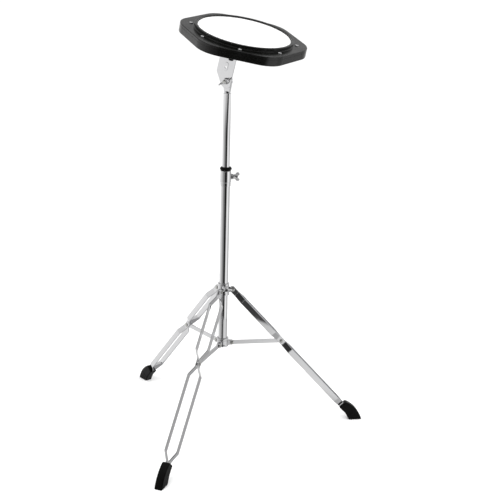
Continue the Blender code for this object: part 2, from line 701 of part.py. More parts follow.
def screw_places():
    """The places of the tension screws round the pad."""
    angles = [-pi / 2 + 2 * pi * i / SCREW_COUNT for i in range(SCREW_COUNT)]
    return [(SCREW_CIRCLE_R * cos(a), SCREW_CIRCLE_R * sin(a)) for a in angles]


def foot_places():
    """The places of the rubber feet under the pad."""
    angles = [PAD_FOOT_TURN + 2 * pi * i / PAD_FOOT_COUNT for i in range(PAD_FOOT_COUNT)]
    return [(PAD_FOOT_CIRCLE_R * cos(a), PAD_FOOT_CIRCLE_R * sin(a)) for a in angles]


def build_pad_base(pad):
    outer = rounded_hexagon(HEX_APOTHEM, HEX_CORNER_R)
    inner = rounded_hexagon(HEX_APOTHEM - BASE_WALL, HEX_CORNER_R - BASE_WALL)
    base = link_part(outline_solid("pad_base", [outer], 0, BASE_H), "black_plastic", pad)
    cut(base, outline_solid("pad_base_hollow", [inner], BASE_FLOOR, BASE_H + 5 * MM))
    bearing_top = HEAD_TOP - HEAD_THICKNESS - GAP
    bearing = ring_profile(*BEARING_R, BASE_FLOOR - 1 * MM, bearing_top)
    add(base, turned("pad_bearing", bearing, 48))
    boss_r = 4.2 * MM
    for number, (x, y) in enumerate(screw_places(), 1):
        boss = cylinder(f"screw_boss_{number}", boss_r, BASE_FLOOR - 1 * MM, BASE_H, "Z", 8)
        add(base, turn_mesh(boss, Matrix.Translation((x, y, 0))))
    insert_boss = cylinder("insert_boss", INSERT_R + 4 * MM, BASE_FLOOR - 1 * MM, BASE_H, "Z", 28)
    add(base, insert_boss)
    for number, (x, y) in enumerate(screw_places(), 1):
        hole = cylinder(f"screw_hole_{number}", SCREW_R + GAP, 4 * MM, 20 * MM, "Z", 8)
        cut(base, turn_mesh(hole, Matrix.Translation((x, y, 0))))
    cut(base, cylinder("insert_pocket", INSERT_R + GAP, 2 * MM, 20 * MM, "Z", 6))
    cut(base, cylinder("insert_hole", MOUNT_BOLT_R + GAP, -5 * MM, 20 * MM, "Z", 20))


def build_pad_rim(pad):
    """The hexagonal clamping rim with its raised ring round the head."""
    outer = rounded_hexagon(HEX_APOTHEM, HEX_CORNER_R)
    rim = link_part(outline_solid("clamp_rim", [outer], *RIM_Z), "black_plastic", pad)
    add(rim, cylinder("rim_ring", RIM_RING_R[1], RIM_Z[0] + 1 * MM, RIM_TOP, "Z", 56))
    lip = HEAD_TOP + GAP
    step = FLESH_HOOP_Z[1] + GAP
    bore = [
        (RIM_RING_R[0], RIM_TOP + 5 * MM), (RIM_RING_R[0], lip), (HEAD_R + GAP, lip),
        (HEAD_R + GAP, step), (FLESH_HOOP_R[1] + GAP, step),
        (FLESH_HOOP_R[1] + GAP, RIM_Z[0] - 5 * MM), (0, RIM_Z[0] - 5 * MM),
    ]
    cut(rim, turned("rim_bore", [(0, RIM_TOP + 5 * MM)] + bore, 56))
    for number, (x, y) in enumerate(screw_places(), 1):
        hole = cylinder(f"rim_hole_{number}", SCREW_R + GAP, 5 * MM, 30 * MM, "Z", 8)
        cut(rim, turn_mesh(hole, Matrix.Translation((x, y, 0))))


def build_head(pad):
    under = HEAD_TOP - HEAD_THICKNESS
    skirt = FLESH_HOOP_Z[1] + 1 * MM
    film = [
        (0, HEAD_TOP), (HEAD_FLAT_R, HEAD_TOP), (HEAD_R, skirt),
        (HEAD_R - HEAD_THICKNESS, skirt), (HEAD_FLAT_R - HEAD_THICKNESS, under), (0, under),
    ]
    link_part(turned("drum_head", film, 48), "white_film", pad)
    hoop = ring_profile(*FLESH_HOOP_R, *FLESH_HOOP_Z)
    link_part(turned("flesh_hoop", hoop, 48), "aluminium", pad)
    low = BASE_H + GAP
    foam_r = BEARING_R[0] - GAP
    foam = [(0, under - GAP), (foam_r, under - GAP), (foam_r, low), (0, low)]
    link_part(turned("foam_disc", foam, 36), "foam", pad)


def build_pad_fasteners(pad):
    seat = RIM_Z[1] + GAP
    for number, (x, y) in enumerate(screw_places(), 1):
        profile = [
            (0, seat + SCREW_HEAD), (SCREW_HEAD_R * 0.55, seat + 0.9 * SCREW_HEAD),
            (SCREW_HEAD_R, seat + 0.35 * SCREW_HEAD), (SCREW_HEAD_R, seat),
            (SCREW_R, seat), (SCREW_R, 4.5 * MM), (0, 4.5 * MM),
        ]
        screw = link_part(turned(f"tension_screw_{number}", profile, 12), "chrome", pad)
        screw.location = (x, y, 0)
    nut = cylinder("mount_insert", INSERT_R, 2 * MM + GAP, 10 * MM, "Z", 6)
    nut = link_part(nut, "zinc_steel", pad)
    cut(nut, cylinder("insert_thread", MOUNT_BOLT_R + GAP, -5 * MM, 20 * MM, "Z", 20))
    for number, (x, y) in enumerate(foot_places(), 1):
        low = -PAD_FOOT_H
        profile = [(0, -GAP), (PAD_FOOT_R, -GAP), (PAD_FOOT_R - 1.2 * MM, low), (0, low)]
        foot = link_part(turned(f"pad_foot_{number}", profile, 18), "rubber", pad)
        foot.location = (x, y, 0)


# ---- the whole part -----------------------------------------------------------
def shade(obj):
    if obj.type == "MESH":
        obj.data.shade_smooth()
        obj.data.set_sharp_from_angle(angle=radians(35))


def centre_on_floor(mast):
    """Shift the whole part so that its box is centred on the origin, soles at z = 0."""
    bpy.context.view_layer.update()
    graph = bpy.context.evaluated_depsgraph_get()
    low = [1e9, 1e9, 1e9]
    high = [-1e9, -1e9, -1e9]
    for obj in PARTS.objects:
        if obj.type != "MESH":
            continue
        solid = obj.evaluated_get(graph)
        mesh = solid.to_mesh()
        for vertex in mesh.vertices:
            place = solid.matrix_world @ vertex.co
            low = [min(a, b) for a, b in zip(low, place)]
            high = [max(a, b) for a, b in zip(high, place)]
        solid.to_mesh_clear()
    mast.location = (-(low[0] + high[0]) / 2, -(low[1] + high[1]) / 2, -low[2])


def build():
    mast = empty("mast_axis")
    build_mast(mast)
    build_height_clamp(mast)
    build_hub(mast)
    build_stay_collar(mast)
    for number in range(1, LEG_COUNT + 1):
        build_leg(mast, number)
        build_stay(mast, number)
    tilter = empty("swivel_axis", mast, (0, 0, 0), (0, 0, SWIVEL_AT_REST))
    build_stem(tilter)
    pivot = empty("tilt_axis", tilter, (0, 0, PIVOT_Z))
    build_pivot(pivot)
    bracket = empty("bracket_frame", pivot, (0, 0, 0), (0, TILT_AT_REST, 0))
    build_bracket(bracket)
    mount = empty("pad_turn_axis", bracket)
    mount.matrix_local = mount_place()
    build_mount(mount)
    pad = empty("pad_frame", mount, (0, 0, 2 * GAP + WASHER_T), (0, 0, PAD_TURN))
    build_pad_base(pad)
    build_pad_rim(pad)
    build_head(pad)
    build_pad_fasteners(pad)
    for obj in PARTS.objects:
        shade(obj)
    centre_on_floor(mast)
    bpy.context.view_layer.update()


build()
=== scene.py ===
"""Looks of a tunable practice pad on a folding, double-braced tripod stand.

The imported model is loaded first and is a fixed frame: every piece here is built in metres
round the places and axes of its joints, and rides on one of its bodies.
"""

import json
import logging
from dataclasses import dataclass
from enum import Enum
from math import asin, atan2, cos, pi, radians, sin, tan
from typing import Callable, Iterable, Sequence

import bmesh
import bpy
from mathutils import Matrix, Vector

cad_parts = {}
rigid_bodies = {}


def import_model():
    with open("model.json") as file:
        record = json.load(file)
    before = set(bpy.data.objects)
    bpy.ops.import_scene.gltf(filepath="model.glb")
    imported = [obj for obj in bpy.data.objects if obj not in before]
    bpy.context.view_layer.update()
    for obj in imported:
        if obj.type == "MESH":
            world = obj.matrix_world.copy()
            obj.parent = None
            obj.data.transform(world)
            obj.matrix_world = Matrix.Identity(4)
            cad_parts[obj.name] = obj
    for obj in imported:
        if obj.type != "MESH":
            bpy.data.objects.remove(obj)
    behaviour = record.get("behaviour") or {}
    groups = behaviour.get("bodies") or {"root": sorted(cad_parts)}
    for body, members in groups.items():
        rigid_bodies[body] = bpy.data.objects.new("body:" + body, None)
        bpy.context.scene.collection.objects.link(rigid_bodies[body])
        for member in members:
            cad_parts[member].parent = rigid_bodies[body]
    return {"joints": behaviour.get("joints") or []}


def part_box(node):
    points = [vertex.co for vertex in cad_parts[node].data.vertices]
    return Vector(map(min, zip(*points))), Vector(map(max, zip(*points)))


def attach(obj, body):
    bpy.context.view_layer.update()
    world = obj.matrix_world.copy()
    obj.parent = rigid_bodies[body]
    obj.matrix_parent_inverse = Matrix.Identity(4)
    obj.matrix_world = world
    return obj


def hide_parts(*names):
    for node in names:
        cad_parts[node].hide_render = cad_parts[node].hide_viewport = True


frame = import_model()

MM = 0.001
GAP = 0.3 * MM                    # air between neighbouring pieces
SEAM = 2e-6                       # points closer together than this become one
LEG_COUNT = 3
X = Vector((1, 0, 0))
Y = Vector((0, 1, 0))
Z = Vector((0, 0, 1))
LOG = logging.getLogger("pad_stand")

Point = tuple[float, float]
Profile = list[Point]


# ---- node trees -------------------------------------------------------------
class Tree:
    """A node tree that is built one node at a time."""

    def __init__(self, tree: bpy.types.NodeTree) -> None:
        """Start from the given tree.

        Args:
            tree: the node tree to build in.
        """
        self.tree = tree

    def add(self, kind: str, inputs: dict | None = None, **settings: object) -> bpy.types.Node:
        """Add a node, with its inputs linked or set.

        Args:
            kind: the node's type name.
            inputs: values or output sockets by input name or number.
            settings: the node's own properties.

        Returns:
            The new node.
        """
        node = self.tree.nodes.new(kind)
        for name, value in settings.items():
            setattr(node, name, value)
        for name, value in (inputs or {}).items():
            if isinstance(value, bpy.types.NodeSocket):
                self.tree.links.new(value, node.inputs[name])
            else:
                node.inputs[name].default_value = value
        return node

    def math(self, operation: str, first: object, second: object = 0.0) -> bpy.types.NodeSocket:
        """Add a Math node.

        Args:
            operation: the node's operation.
            first: its first value or socket.
            second: its second value or socket.

        Returns:
            The result's socket.
        """
        node = self.add("ShaderNodeMath", {0: first, 1: second}, operation=operation)
        return node.outputs[0]


# ---- finishes ---------------------------------------------------------------
class Grain(Enum):
    """The kinds of fine surface texture that a finish can have."""

    FINE = "noise"
    CELLS = "cells"
    DRAWN = "drawn lines"


@dataclass(frozen=True)
class Finish:
    """A surface finish, with its record slot, its colours and its texture's sizes."""

    name: str
    slot: str
    colour: tuple[float, float, float]
    second: tuple[float, float, float]
    roughness: tuple[float, float]
    metallic: float = 0.0
    specular: float = 0.5
    patch: float = 25.0               # colour patches to the metre
    smudge: float = 60.0              # changes of polish to the metre
    grain: Grain = Grain.FINE
    grain_scale: float = 1500.0       # grains to the metre
    grain_depth: float = 0.02 * MM
    wave_scale: float = 0.0           # slow unevenness to the metre, none at 0
    wave_depth: float = 0.0
    sheen: float = 0.0

    def build(self) -> bpy.types.Material:
        """Make the finish's material.

        Returns:
            A node material that reads the piece's own Object coordinates.
        """
        material = bpy.data.materials.new(self.name)
        material.use_nodes = True
        material.node_tree.nodes.clear()
        tree = Tree(material.node_tree)
        place = tree.add("ShaderNodeTexCoord").outputs["Object"]
        shader = tree.add("ShaderNodeBsdfPrincipled", {
            "Metallic": self.metallic, "Specular IOR Level": self.specular,
            "Sheen Weight": self.sheen, "Base Color": self.tones(tree, place),
            "Roughness": self.polish(tree, place), "Normal": self.relief(tree, place),
        })
        tree.add("ShaderNodeOutputMaterial", {"Surface": shader.outputs[0]})
        return material

    def tones(self, tree: Tree, place: bpy.types.NodeSocket) -> bpy.types.NodeSocket:
        """Mottle the first colour with the second; returns the colour's socket."""
        noise = tree.add("ShaderNodeTexNoise", {
            "Vector": place, "Scale": self.patch, "Detail": 5.0,
        })
        ramp = tree.add("ShaderNodeValToRGB", {"Fac": noise.outputs[0]})
        ramp.color_ramp.elements[0].position = 0.35
        ramp.color_ramp.elements[1].position = 0.68
        ramp.color_ramp.elements[0].color = (*self.colour, 1)
        ramp.color_ramp.elements[1].color = (*self.second, 1)
        return ramp.outputs[0]

    def polish(self, tree: Tree, place: bpy.types.NodeSocket) -> bpy.types.NodeSocket:
        """Vary the roughness in smudges; returns the value's socket."""
        noise = tree.add("ShaderNodeTexNoise", {
            "Vector": place, "Scale": self.smudge, "Detail": 4.0,
        })
        span = tree.add("ShaderNodeMapRange", {
            "Value": noise.outputs[0], "From Min": 0.3, "From Max": 0.7,
            "To Min": self.roughness[0], "To Max": self.roughness[1],
        })
        return span.outputs[0]

    def relief(self, tree: Tree, place: bpy.types.NodeSocket) -> bpy.types.NodeSocket:
        """Raise the finish's grain, over its slow waves; returns the normal's socket."""
        if self.grain is Grain.CELLS:
            texture = tree.add("ShaderNodeTexVoronoi", {"Vector": place, "Scale": self.grain_scale})
        else:
            stretch = (1, 1, 0.04) if self.grain is Grain.DRAWN else (1, 1, 1)
            turned = tree.add("ShaderNodeMapping", {"Vector": place, "Scale": stretch})
            texture = tree.add("ShaderNodeTexNoise", {
                "Vector": turned.outputs[0], "Scale": self.grain_scale, "Detail": 3.0,
            })
        bump = tree.add("ShaderNodeBump", {
            "Height": texture.outputs[0], "Distance": self.grain_depth, "Strength": 1.0,
        })
        if self.wave_scale:
            slow = tree.add("ShaderNodeTexNoise", {"Vector": place, "Scale": self.wave_scale})
            wave = tree.add("ShaderNodeBump", {
                "Height": slow.outputs[0], "Distance": self.wave_depth, "Strength": 1.0,
            })
            tree.tree.links.new(wave.outputs[0], bump.inputs["Normal"])
        return bump.outputs[0]


CHROME = Finish("chrome_plate", "chrome", (0.83, 0.83, 0.84), (0.78, 0.78, 0.79), (0.035, 0.08),
                metallic=1.0, patch=14, smudge=45, grain=Grain.DRAWN, grain_scale=2200,
                grain_depth=0.0008 * MM, wave_scale=70, wave_depth=0.012 * MM)
CAST_CHROME = Finish("cast_chrome", "chrome", (0.80, 0.80, 0.81), (0.72, 0.72, 0.73), (0.045, 0.10),
                     metallic=1.0, patch=60, smudge=180, grain_scale=900,
                     grain_depth=0.004 * MM, wave_scale=160, wave_depth=0.03 * MM)
ZINC = Finish("zinc_steel", "steel", (0.66, 0.66, 0.64), (0.55, 0.55, 0.52), (0.22, 0.38),
              metallic=1.0, patch=150, smudge=300, grain_scale=2500, grain_depth=0.006 * MM)
ALUMINIUM = Finish("drawn_aluminium", "aluminium", (0.72, 0.73, 0.74), (0.64, 0.65, 0.66),
                   (0.28, 0.42), metallic=1.0, patch=50, smudge=200, grain=Grain.DRAWN,
                   grain_scale=2600, grain_depth=0.005 * MM)
BLACK_SHELL = Finish("black_moulding", "black_plastic", (0.0012, 0.0013, 0.001),
                     (0.0026, 0.0027, 0.0023), (0.18, 0.28), specular=0.46, patch=22, smudge=35,
                     grain=Grain.CELLS, grain_scale=1300, grain_depth=0.018 * MM,
                     wave_scale=30, wave_depth=0.12 * MM)
FILM = Finish("coated_film", "head_film", (0.88, 0.88, 0.875), (0.84, 0.84, 0.83), (0.5, 0.66),
              patch=16, smudge=50, grain_scale=2200, grain_depth=0.02 * MM)
FOAM = Finish("open_foam", "foam", (0.05, 0.05, 0.052), (0.075, 0.075, 0.078), (0.9, 1.0),
              specular=0.15, patch=400, smudge=200, grain=Grain.CELLS, grain_scale=900,
              grain_depth=0.5 * MM, sheen=0.2)
RUBBER = Finish("soft_rubber", "rubber", (0.0012, 0.0012, 0.0012), (0.0026, 0.0026, 0.0024),
                (0.32, 0.46), specular=0.12, patch=80, smudge=120, grain_scale=1800,
                grain_depth=0.02 * MM, wave_scale=90, wave_depth=0.06 * MM)
NYLON = Finish("black_nylon", "nylon", (0.0012, 0.0012, 0.0012), (0.0026, 0.0026, 0.0024),
               (0.28, 0.4), specular=0.12, patch=120, smudge=160, grain_scale=1600,
               grain_depth=0.01 * MM)
FINISHES = (CHROME, CAST_CHROME, ZINC, ALUMINIUM, BLACK_SHELL, FILM, FOAM, RUBBER, NYLON)


# ---- outlines ---------------------------------------------------------------
def arc(centre: Point, radius: float, start: float, end: float, steps: int) -> Profile:
    """Points along an arc.

    Args:
        centre: the arc's centre.
        radius: its radius.
        start: its first angle.
        end: its last angle.
        steps: the number of its chords.

    Returns:
        The points, both ends included.
    """
    angles = [start + (end - start) * i / steps for i in range(steps + 1)]
    return [(centre[0] + radius * cos(a), centre[1] + radius * sin(a)) for a in angles]


def polygon(radius: float, sides: int = 32, centre: Point = (0, 0)) -> Profile:
    """A regular polygon with a corner on its first axis; 32 sides stand for a round hole."""
    return arc(centre, radius, 0, 2 * pi * (sides - 1) / sides, sides - 1)


def dome(radius: float, base: float, height: float) -> Profile:
    """A dome's profile from its crown out to its rim, at base above zero."""
    return [(radius * sin(t), base + height * cos(t)) for t in (pi / 2 * i / 9 for i in range(10))]


def curved(first: Vector, corner: Vector, last: Vector, steps: int) -> list[Vector]:
    """Points from first to last on a curve that the corner pulls toward itself."""
    return [first * (1 - t) ** 2 + corner * 2 * t * (1 - t) + last * t ** 2
            for t in (i / steps for i in range(steps + 1))]


def bend(before: Vector, corner: Vector, after: Vector, radius: float,
         steps: int) -> list[Vector]:
    """One bend between two straight runs.

    Args:
        before: a point on the first run.
        corner: where the two runs meet.
        after: a point on the second run.
        radius: the bend's radius.
        steps: the number of its chords.

    Returns:
        The bend's points, both ends included.
    """
    back = (before - corner).normalized()
    on = (after - corner).normalized()
    reach = radius / tan(back.angle(on) / 2)
    return curved(corner + back * reach, corner, corner + on * reach, steps)


def soften(outline: Sequence[Point], radius: float, steps: int = 3) -> Profile:
    """Round every sharp corner of a closed outline that isn't on the first axis's zero.

    Args:
        outline: the corners in order.
        radius: the rounding's radius, less where an edge is short.
        steps: the number of chords in each rounding.

    Returns:
        The rounded outline.
    """
    made: Profile = []
    for i, point in enumerate(outline):
        corner = Vector(point)
        back = Vector(outline[i - 1]) - corner
        on = Vector(outline[(i + 1) % len(outline)]) - corner
        angle = back.angle(on)
        if abs(corner.x) < 1e-9 or angle > radians(165):
            made.append(tuple(corner))
            continue
        reach = min(radius / tan(angle / 2), 0.45 * back.length, 0.45 * on.length)
        first = corner + back.normalized() * reach
        last = corner + on.normalized() * reach
        made += [tuple(p) for p in curved(first, corner, last, steps)]
    return made


def rounded_strip(start: float, end: float, width: float, steps: int = 16) -> Profile:
    """The outline of a flat bar with half-round ends centred on start and end."""
    half = width / 2
    return (arc((end, 0), half, -pi / 2, pi / 2, steps)
            + arc((start, 0), half, pi / 2, 3 * pi / 2, steps))


def rounded_hexagon(apothem: float, corner_r: float, steps: int = 14) -> Profile:
    """A hexagon with a flat side toward -Y and rounded corners."""
    centre_r = (apothem - corner_r) / cos(pi / 6)
    points: Profile = []
    for corner in range(6):
        middle = pi / 3 * corner
        centre = (centre_r * cos(middle), centre_r * sin(middle))
        points += arc(centre, corner_r, middle - pi / 6, middle + pi / 6, steps)
    return points


# ---- meshes -----------------------------------------------------------------
@dataclass(frozen=True)
class Thread:
    """A screw thread cut into the part of a turned rod between two heights."""

    low: float
    high: float
    pitch: float = 1.0 * MM
    depth: float = 0.35 * MM

    def depth_at(self, height: float, angle: float) -> float:
        """How deep the thread is cut at a height and an angle."""
        run = min(height - self.low, self.high - height)
        if run <= 0:
            return 0.0
        phase = (height / self.pitch - angle / (2 * pi)) % 1.0
        return self.depth * abs(2 * phase - 1) * min(1.0, run / self.pitch)


def put(name: str, data: bpy.types.ID) -> bpy.types.Object:
    """Make an object of a mesh, curve, camera or lamp and put it in the scene."""
    obj = bpy.data.objects.new(name, data)
    bpy.context.scene.collection.objects.link(obj)
    return obj


def link(name: str, shape: bmesh.types.BMesh) -> bpy.types.Object:
    """Turn a bmesh into an object in the scene and free it."""
    mesh = bpy.data.meshes.new(name)
    shape.to_mesh(mesh)
    shape.free()
    return put(name, mesh)


def lathe(name: str, profile: Sequence[Point], steps: int = 64,
          thread: Thread | None = None) -> bpy.types.Object:
    """Turn a closed (radius, height) profile about Z.

    Args:
        name: the object's name.
        profile: the profile's points in order.
        steps: the number of sides.
        thread: a thread to cut into the points outside the axis, if any.

    Returns:
        A closed mesh object.
    """
    shape = bmesh.new()
    rings = []
    for radius, height in profile:
        if radius < 1e-9:
            rings.append([shape.verts.new((0, 0, height))])
            continue
        ring = []
        for i in range(steps):
            angle = 2 * pi * i / steps
            here = radius - (thread.depth_at(height, angle) if thread else 0.0)
            ring.append(shape.verts.new((here * cos(angle), here * sin(angle), height)))
        rings.append(ring)
    for ring, other in zip(rings, rings[1:] + rings[:1]):
        for i in range(steps):
            j = (i + 1) % steps
            corners = (ring[i % len(ring)], ring[j % len(ring)],
                       other[j % len(other)], other[i % len(other)])
            corners = list(dict.fromkeys(corners))
            if len(corners) > 2:
                shape.faces.new(corners)
    bmesh.ops.recalc_face_normals(shape, faces=shape.faces)
    return link(name, shape)


def rod_profile(radius: float, low: float, high: float, step: float) -> Profile:
    """A rod's profile with chamfered ends and points close enough for a thread."""
    edge = 0.12 * radius
    count = max(2, int((high - low - 2 * edge) / step))
    sides = [(radius, high - edge - (high - low - 2 * edge) * i / count) for i in range(count + 1)]
    return [(0, high), (radius - edge, high)] + sides + [(radius - edge, low), (0, low)]


def prism(name: str, loops: Sequence[Sequence[Point]], low: float, high: float,
          edge: float = 0.0, segments: int = 3) -> bpy.types.Object:
    """A solid over closed outlines in XY, the first outside and the rest holes.

    Args:
        name: the object's name.
        loops: the outlines.
        low: the height of its lower face.
        high: the height of its upper face.
        edge: the width that its edges are rounded by.
        segments: the chords in each rounded edge.

    Returns:
        A closed mesh object.
    """
    curve = bpy.data.curves.new(name, "CURVE")
    curve.dimensions = "2D"
    curve.fill_mode = "BOTH"
    curve.extrude = (high - low) / 2
    for loop in loops:
        spline = curve.splines.new("POLY")
        spline.points.add(len(loop) - 1)
        for point, (x, y) in zip(spline.points, loop):
            point.co = (x, y, 0, 1)
        spline.use_cyclic_u = True
    guide = put(name + "_outline", curve)
    mesh = bpy.data.meshes.new_from_object(
        guide.evaluated_get(bpy.context.evaluated_depsgraph_get()))
    bpy.data.objects.remove(guide, do_unlink=True)
    shape = bmesh.new()
    shape.from_mesh(mesh)
    bpy.data.meshes.remove(mesh)
    bmesh.ops.remove_doubles(shape, verts=shape.verts, dist=SEAM)
    bmesh.ops.recalc_face_normals(shape, faces=shape.faces)
    bmesh.ops.dissolve_limit(shape, angle_limit=radians(1), verts=shape.verts, edges=shape.edges)
    bmesh.ops.translate(shape, vec=(0, 0, (low + high) / 2), verts=shape.verts)
    obj = link(name, shape)
    if edge:
        round_edges(obj, edge, segments)
        bake(obj)
    return obj


def round_edges(obj: bpy.types.Object, width: float, segments: int = 3,
                angle: float = 40.0) -> bpy.types.Object:
    """Round an object's sharp edges with a Bevel modifier."""
    edge = obj.modifiers.new("rounded_edges", "BEVEL")
    edge.width = width
    edge.segments = segments
    edge.limit_method = "ANGLE"
    edge.angle_limit = radians(angle)
    return obj


def move(obj: bpy.types.Object, matrix: Matrix) -> bpy.types.Object:
    """Move an object's points."""
    obj.data.transform(matrix)
    if matrix.to_3x3().determinant() < 0:
        obj.data.flip_normals()
    return obj


def bake(obj: bpy.types.Object) -> bpy.types.Object:
    """Replace an object's mesh with its evaluated one and drop its modifiers."""
    bpy.context.view_layer.update()
    solid = obj.evaluated_get(bpy.context.evaluated_depsgraph_get())
    mesh = bpy.data.meshes.new_from_object(solid)
    mesh.name = obj.name
    old = obj.data
    obj.modifiers.clear()
    obj.data = mesh
    bpy.data.meshes.remove(old)
    return obj


def combine(obj: bpy.types.Object, tools: Iterable[bpy.types.Object],
            operation: str) -> bpy.types.Object:
    """Join, cut or keep an object by other ones, which are used up.

    Args:
        obj: the object to change.
        tools: the shapes to change it with.
        operation: UNION, DIFFERENCE or INTERSECT.

    Returns:
        The changed object.
    """
    for tool in tools:
        change = obj.modifiers.new(operation.lower(), "BOOLEAN")
        change.object = tool
        change.operation = operation
        change.solver = "EXACT"
        bake(obj)
        bpy.data.objects.remove(tool, do_unlink=True)
    return obj


def cylinder(radius: float, low: float, high: float, axis: Vector = Z,
             at: Vector = Vector(), steps: int = 48) -> bpy.types.Object:
    """A plain cylinder for cutting, from low to high along an axis through a point."""
    tool = lathe("cutter", [(0, high), (radius, high), (radius, low), (0, low)], steps)
    return move(tool, Matrix.Translation(at) @ Z.rotation_difference(axis).to_matrix().to_4x4())


def box(low: Sequence[float], high: Sequence[float]) -> bpy.types.Object:
    """A plain box for cutting, from its lowest to its highest corner."""
    shape = bmesh.new()
    bmesh.ops.create_cube(shape, size=1)
    bmesh.ops.scale(shape, vec=Vector(high) - Vector(low), verts=shape.verts)
    bmesh.ops.translate(shape, vec=(Vector(high) + Vector(low)) / 2, verts=shape.verts)
    return link("cutter", shape)


def axes(origin: Vector, x: Vector, y: Vector, z: Vector) -> Matrix:
    """The frame with these three directions at a point."""
    turn = Matrix((x, y, z)).transposed().to_4x4()
    return Matrix.Translation(origin) @ turn


UPRIGHT = Matrix.Rotation(pi / 2, 4, "X")      # stands an XY outline up in the XZ plane
ALONG_X = Matrix.Rotation(pi / 2, 4, "Y")      # lays the Z axis along X
ALONG_MINUS_Y = UPRIGHT                        # the same turn lays the Z axis along -Y


# ---- geometry node trees ----------------------------------------------------
class Rule:
    """A Geometry Nodes tree with named inputs, used to make plain meshes."""

    def __init__(self, name: str, inputs: dict[str, str],
                 build: Callable[[Tree, dict], bpy.types.NodeSocket]) -> None:
        """Build the tree.

        Args:
            name: the tree's name.
            inputs: each input's socket type by its name.
            build: makes the shape from the tree and its inputs, and returns its socket.
        """
        self.group = bpy.data.node_groups.new(name, "GeometryNodeTree")
        face = self.group.interface
        face.new_socket("Shape", in_out="INPUT", socket_type="NodeSocketGeometry")
        self.ids = {key: face.new_socket(key, in_out="INPUT", socket_type=kind).identifier
                    for key, kind in inputs.items()}
        self.ids["Finish"] = face.new_socket(
            "Finish", in_out="INPUT", socket_type="NodeSocketMaterial").identifier
        face.new_socket("Shape", in_out="OUTPUT", socket_type="NodeSocketGeometry")
        tree = Tree(self.group)
        source = tree.add("NodeGroupInput")
        shape = build(tree, {socket.name: socket for socket in source.outputs})
        real = tree.add("GeometryNodeRealizeInstances", {0: shape})
        dressed = tree.add("GeometryNodeSetMaterial", {
            0: real.outputs[0], "Material": source.outputs["Finish"],
        })
        tree.add("NodeGroupOutput", {0: dressed.outputs[0]})

    def apply(self, obj: bpy.types.Object, **values: object) -> bpy.types.Object:
        """Run the tree on an object's mesh.

        Args:
            obj: the object to change.
            values: the inputs' values by name, with _ for a space.

        Returns:
            The object, with a plain mesh.
        """
        change = obj.modifiers.new(self.group.name, "NODES")
        change.node_group = self.group
        for key, value in values.items():
            change[self.ids[key.replace("_", " ")]] = value
        return bake(obj)


def bar_rule(tree: Tree, given: dict) -> bpy.types.NodeSocket:
    """Sweep a flat bar along a path in XY, with rounded edges and half-round ends.

    Args:
        tree: the tree to build in.
        given: its inputs, with Width, Thickness, Edge, Start and End.

    Returns:
        The bar's socket.
    """
    path = tree.add("GeometryNodeMeshToCurve", {0: given["Shape"]})
    path = tree.add("GeometryNodeSetCurveNormal", {0: path.outputs[0]}, mode="Z_UP")
    section = tree.add("GeometryNodeCurvePrimitiveQuadrilateral", {
        "Width": given["Thickness"], "Height": given["Width"],
    })
    section = tree.add("GeometryNodeFilletCurve", {
        0: section.outputs[0], "Count": 4, "Radius": given["Edge"], "Limit Radius": True,
    }, mode="POLY")
    swept = tree.add("GeometryNodeCurveToMesh", {
        "Curve": path.outputs[0], "Profile Curve": section.outputs[0], "Fill Caps": True,
    })
    split = tree.add("ShaderNodeSeparateXYZ", {
        0: tree.add("GeometryNodeInputPosition").outputs[0],
    })
    half = tree.math("DIVIDE", given["Width"], 2.0)
    past_end = tree.math("SUBTRACT", split.outputs[0], tree.math("SUBTRACT", given["End"], half))
    past_start = tree.math("SUBTRACT", tree.math("ADD", given["Start"], half), split.outputs[0])
    beyond = tree.math("MAXIMUM", tree.math("MAXIMUM", past_end, past_start), 0.0)
    share = tree.math("MINIMUM", tree.math("DIVIDE", beyond, half), 0.9995)
    left = tree.math("SQRT", tree.math("SUBTRACT", 1.0, tree.math("MULTIPLY", share, share)))
    moved = tree.add("ShaderNodeCombineXYZ", {
        0: split.outputs[0], 1: split.outputs[1], 2: tree.math("MULTIPLY", split.outputs[2], left),
    })
    shaped = tree.add("GeometryNodeSetPosition", {
        0: swept.outputs[0], "Position": moved.outputs[0],
    })
    merged = tree.add("GeometryNodeMergeByDistance", {0: shaped.outputs[0], "Distance": SEAM})
    return merged.outputs[0]


def ring_rule(tree: Tree, given: dict) -> bpy.types.NodeSocket:
    """Set copies of a shape in a ring about Z, all of them or only the one picked.

    Args:
        tree: the tree to build in.
        given: its inputs, with Count, Radius, Turn and Pick, which is -1 for all.

    Returns:
        The copies' socket.
    """
    ring = tree.add("GeometryNodeMeshCircle", {
        "Vertices": given["Count"], "Radius": given["Radius"],
    })
    index = tree.add("GeometryNodeInputIndex").outputs[0]
    share = tree.math("DIVIDE", index, given["Count"])
    angle = tree.math("MULTIPLY", share, 2 * pi)
    facing = tree.add("ShaderNodeCombineXYZ", {2: angle})
    turned = tree.add("FunctionNodeEulerToRotation", {0: facing.outputs[0]})
    off = tree.math("ABSOLUTE", tree.math("SUBTRACT", index, given["Pick"]))
    every = tree.math("LESS_THAN", given["Pick"], 0.0)
    picked = tree.math("MAXIMUM", tree.math("LESS_THAN", off, 0.5), every)
    copies = tree.add("GeometryNodeInstanceOnPoints", {
        "Points": ring.outputs[0], "Instance": given["Shape"], "Selection": picked,
        "Rotation": turned.outputs[0],
    })
    swing = tree.add("ShaderNodeCombineXYZ", {2: given["Turn"]})
    swung = tree.add("GeometryNodeTransform", {
        0: copies.outputs[0], "Rotation": swing.outputs[0],
    })
    return swung.outputs[0]


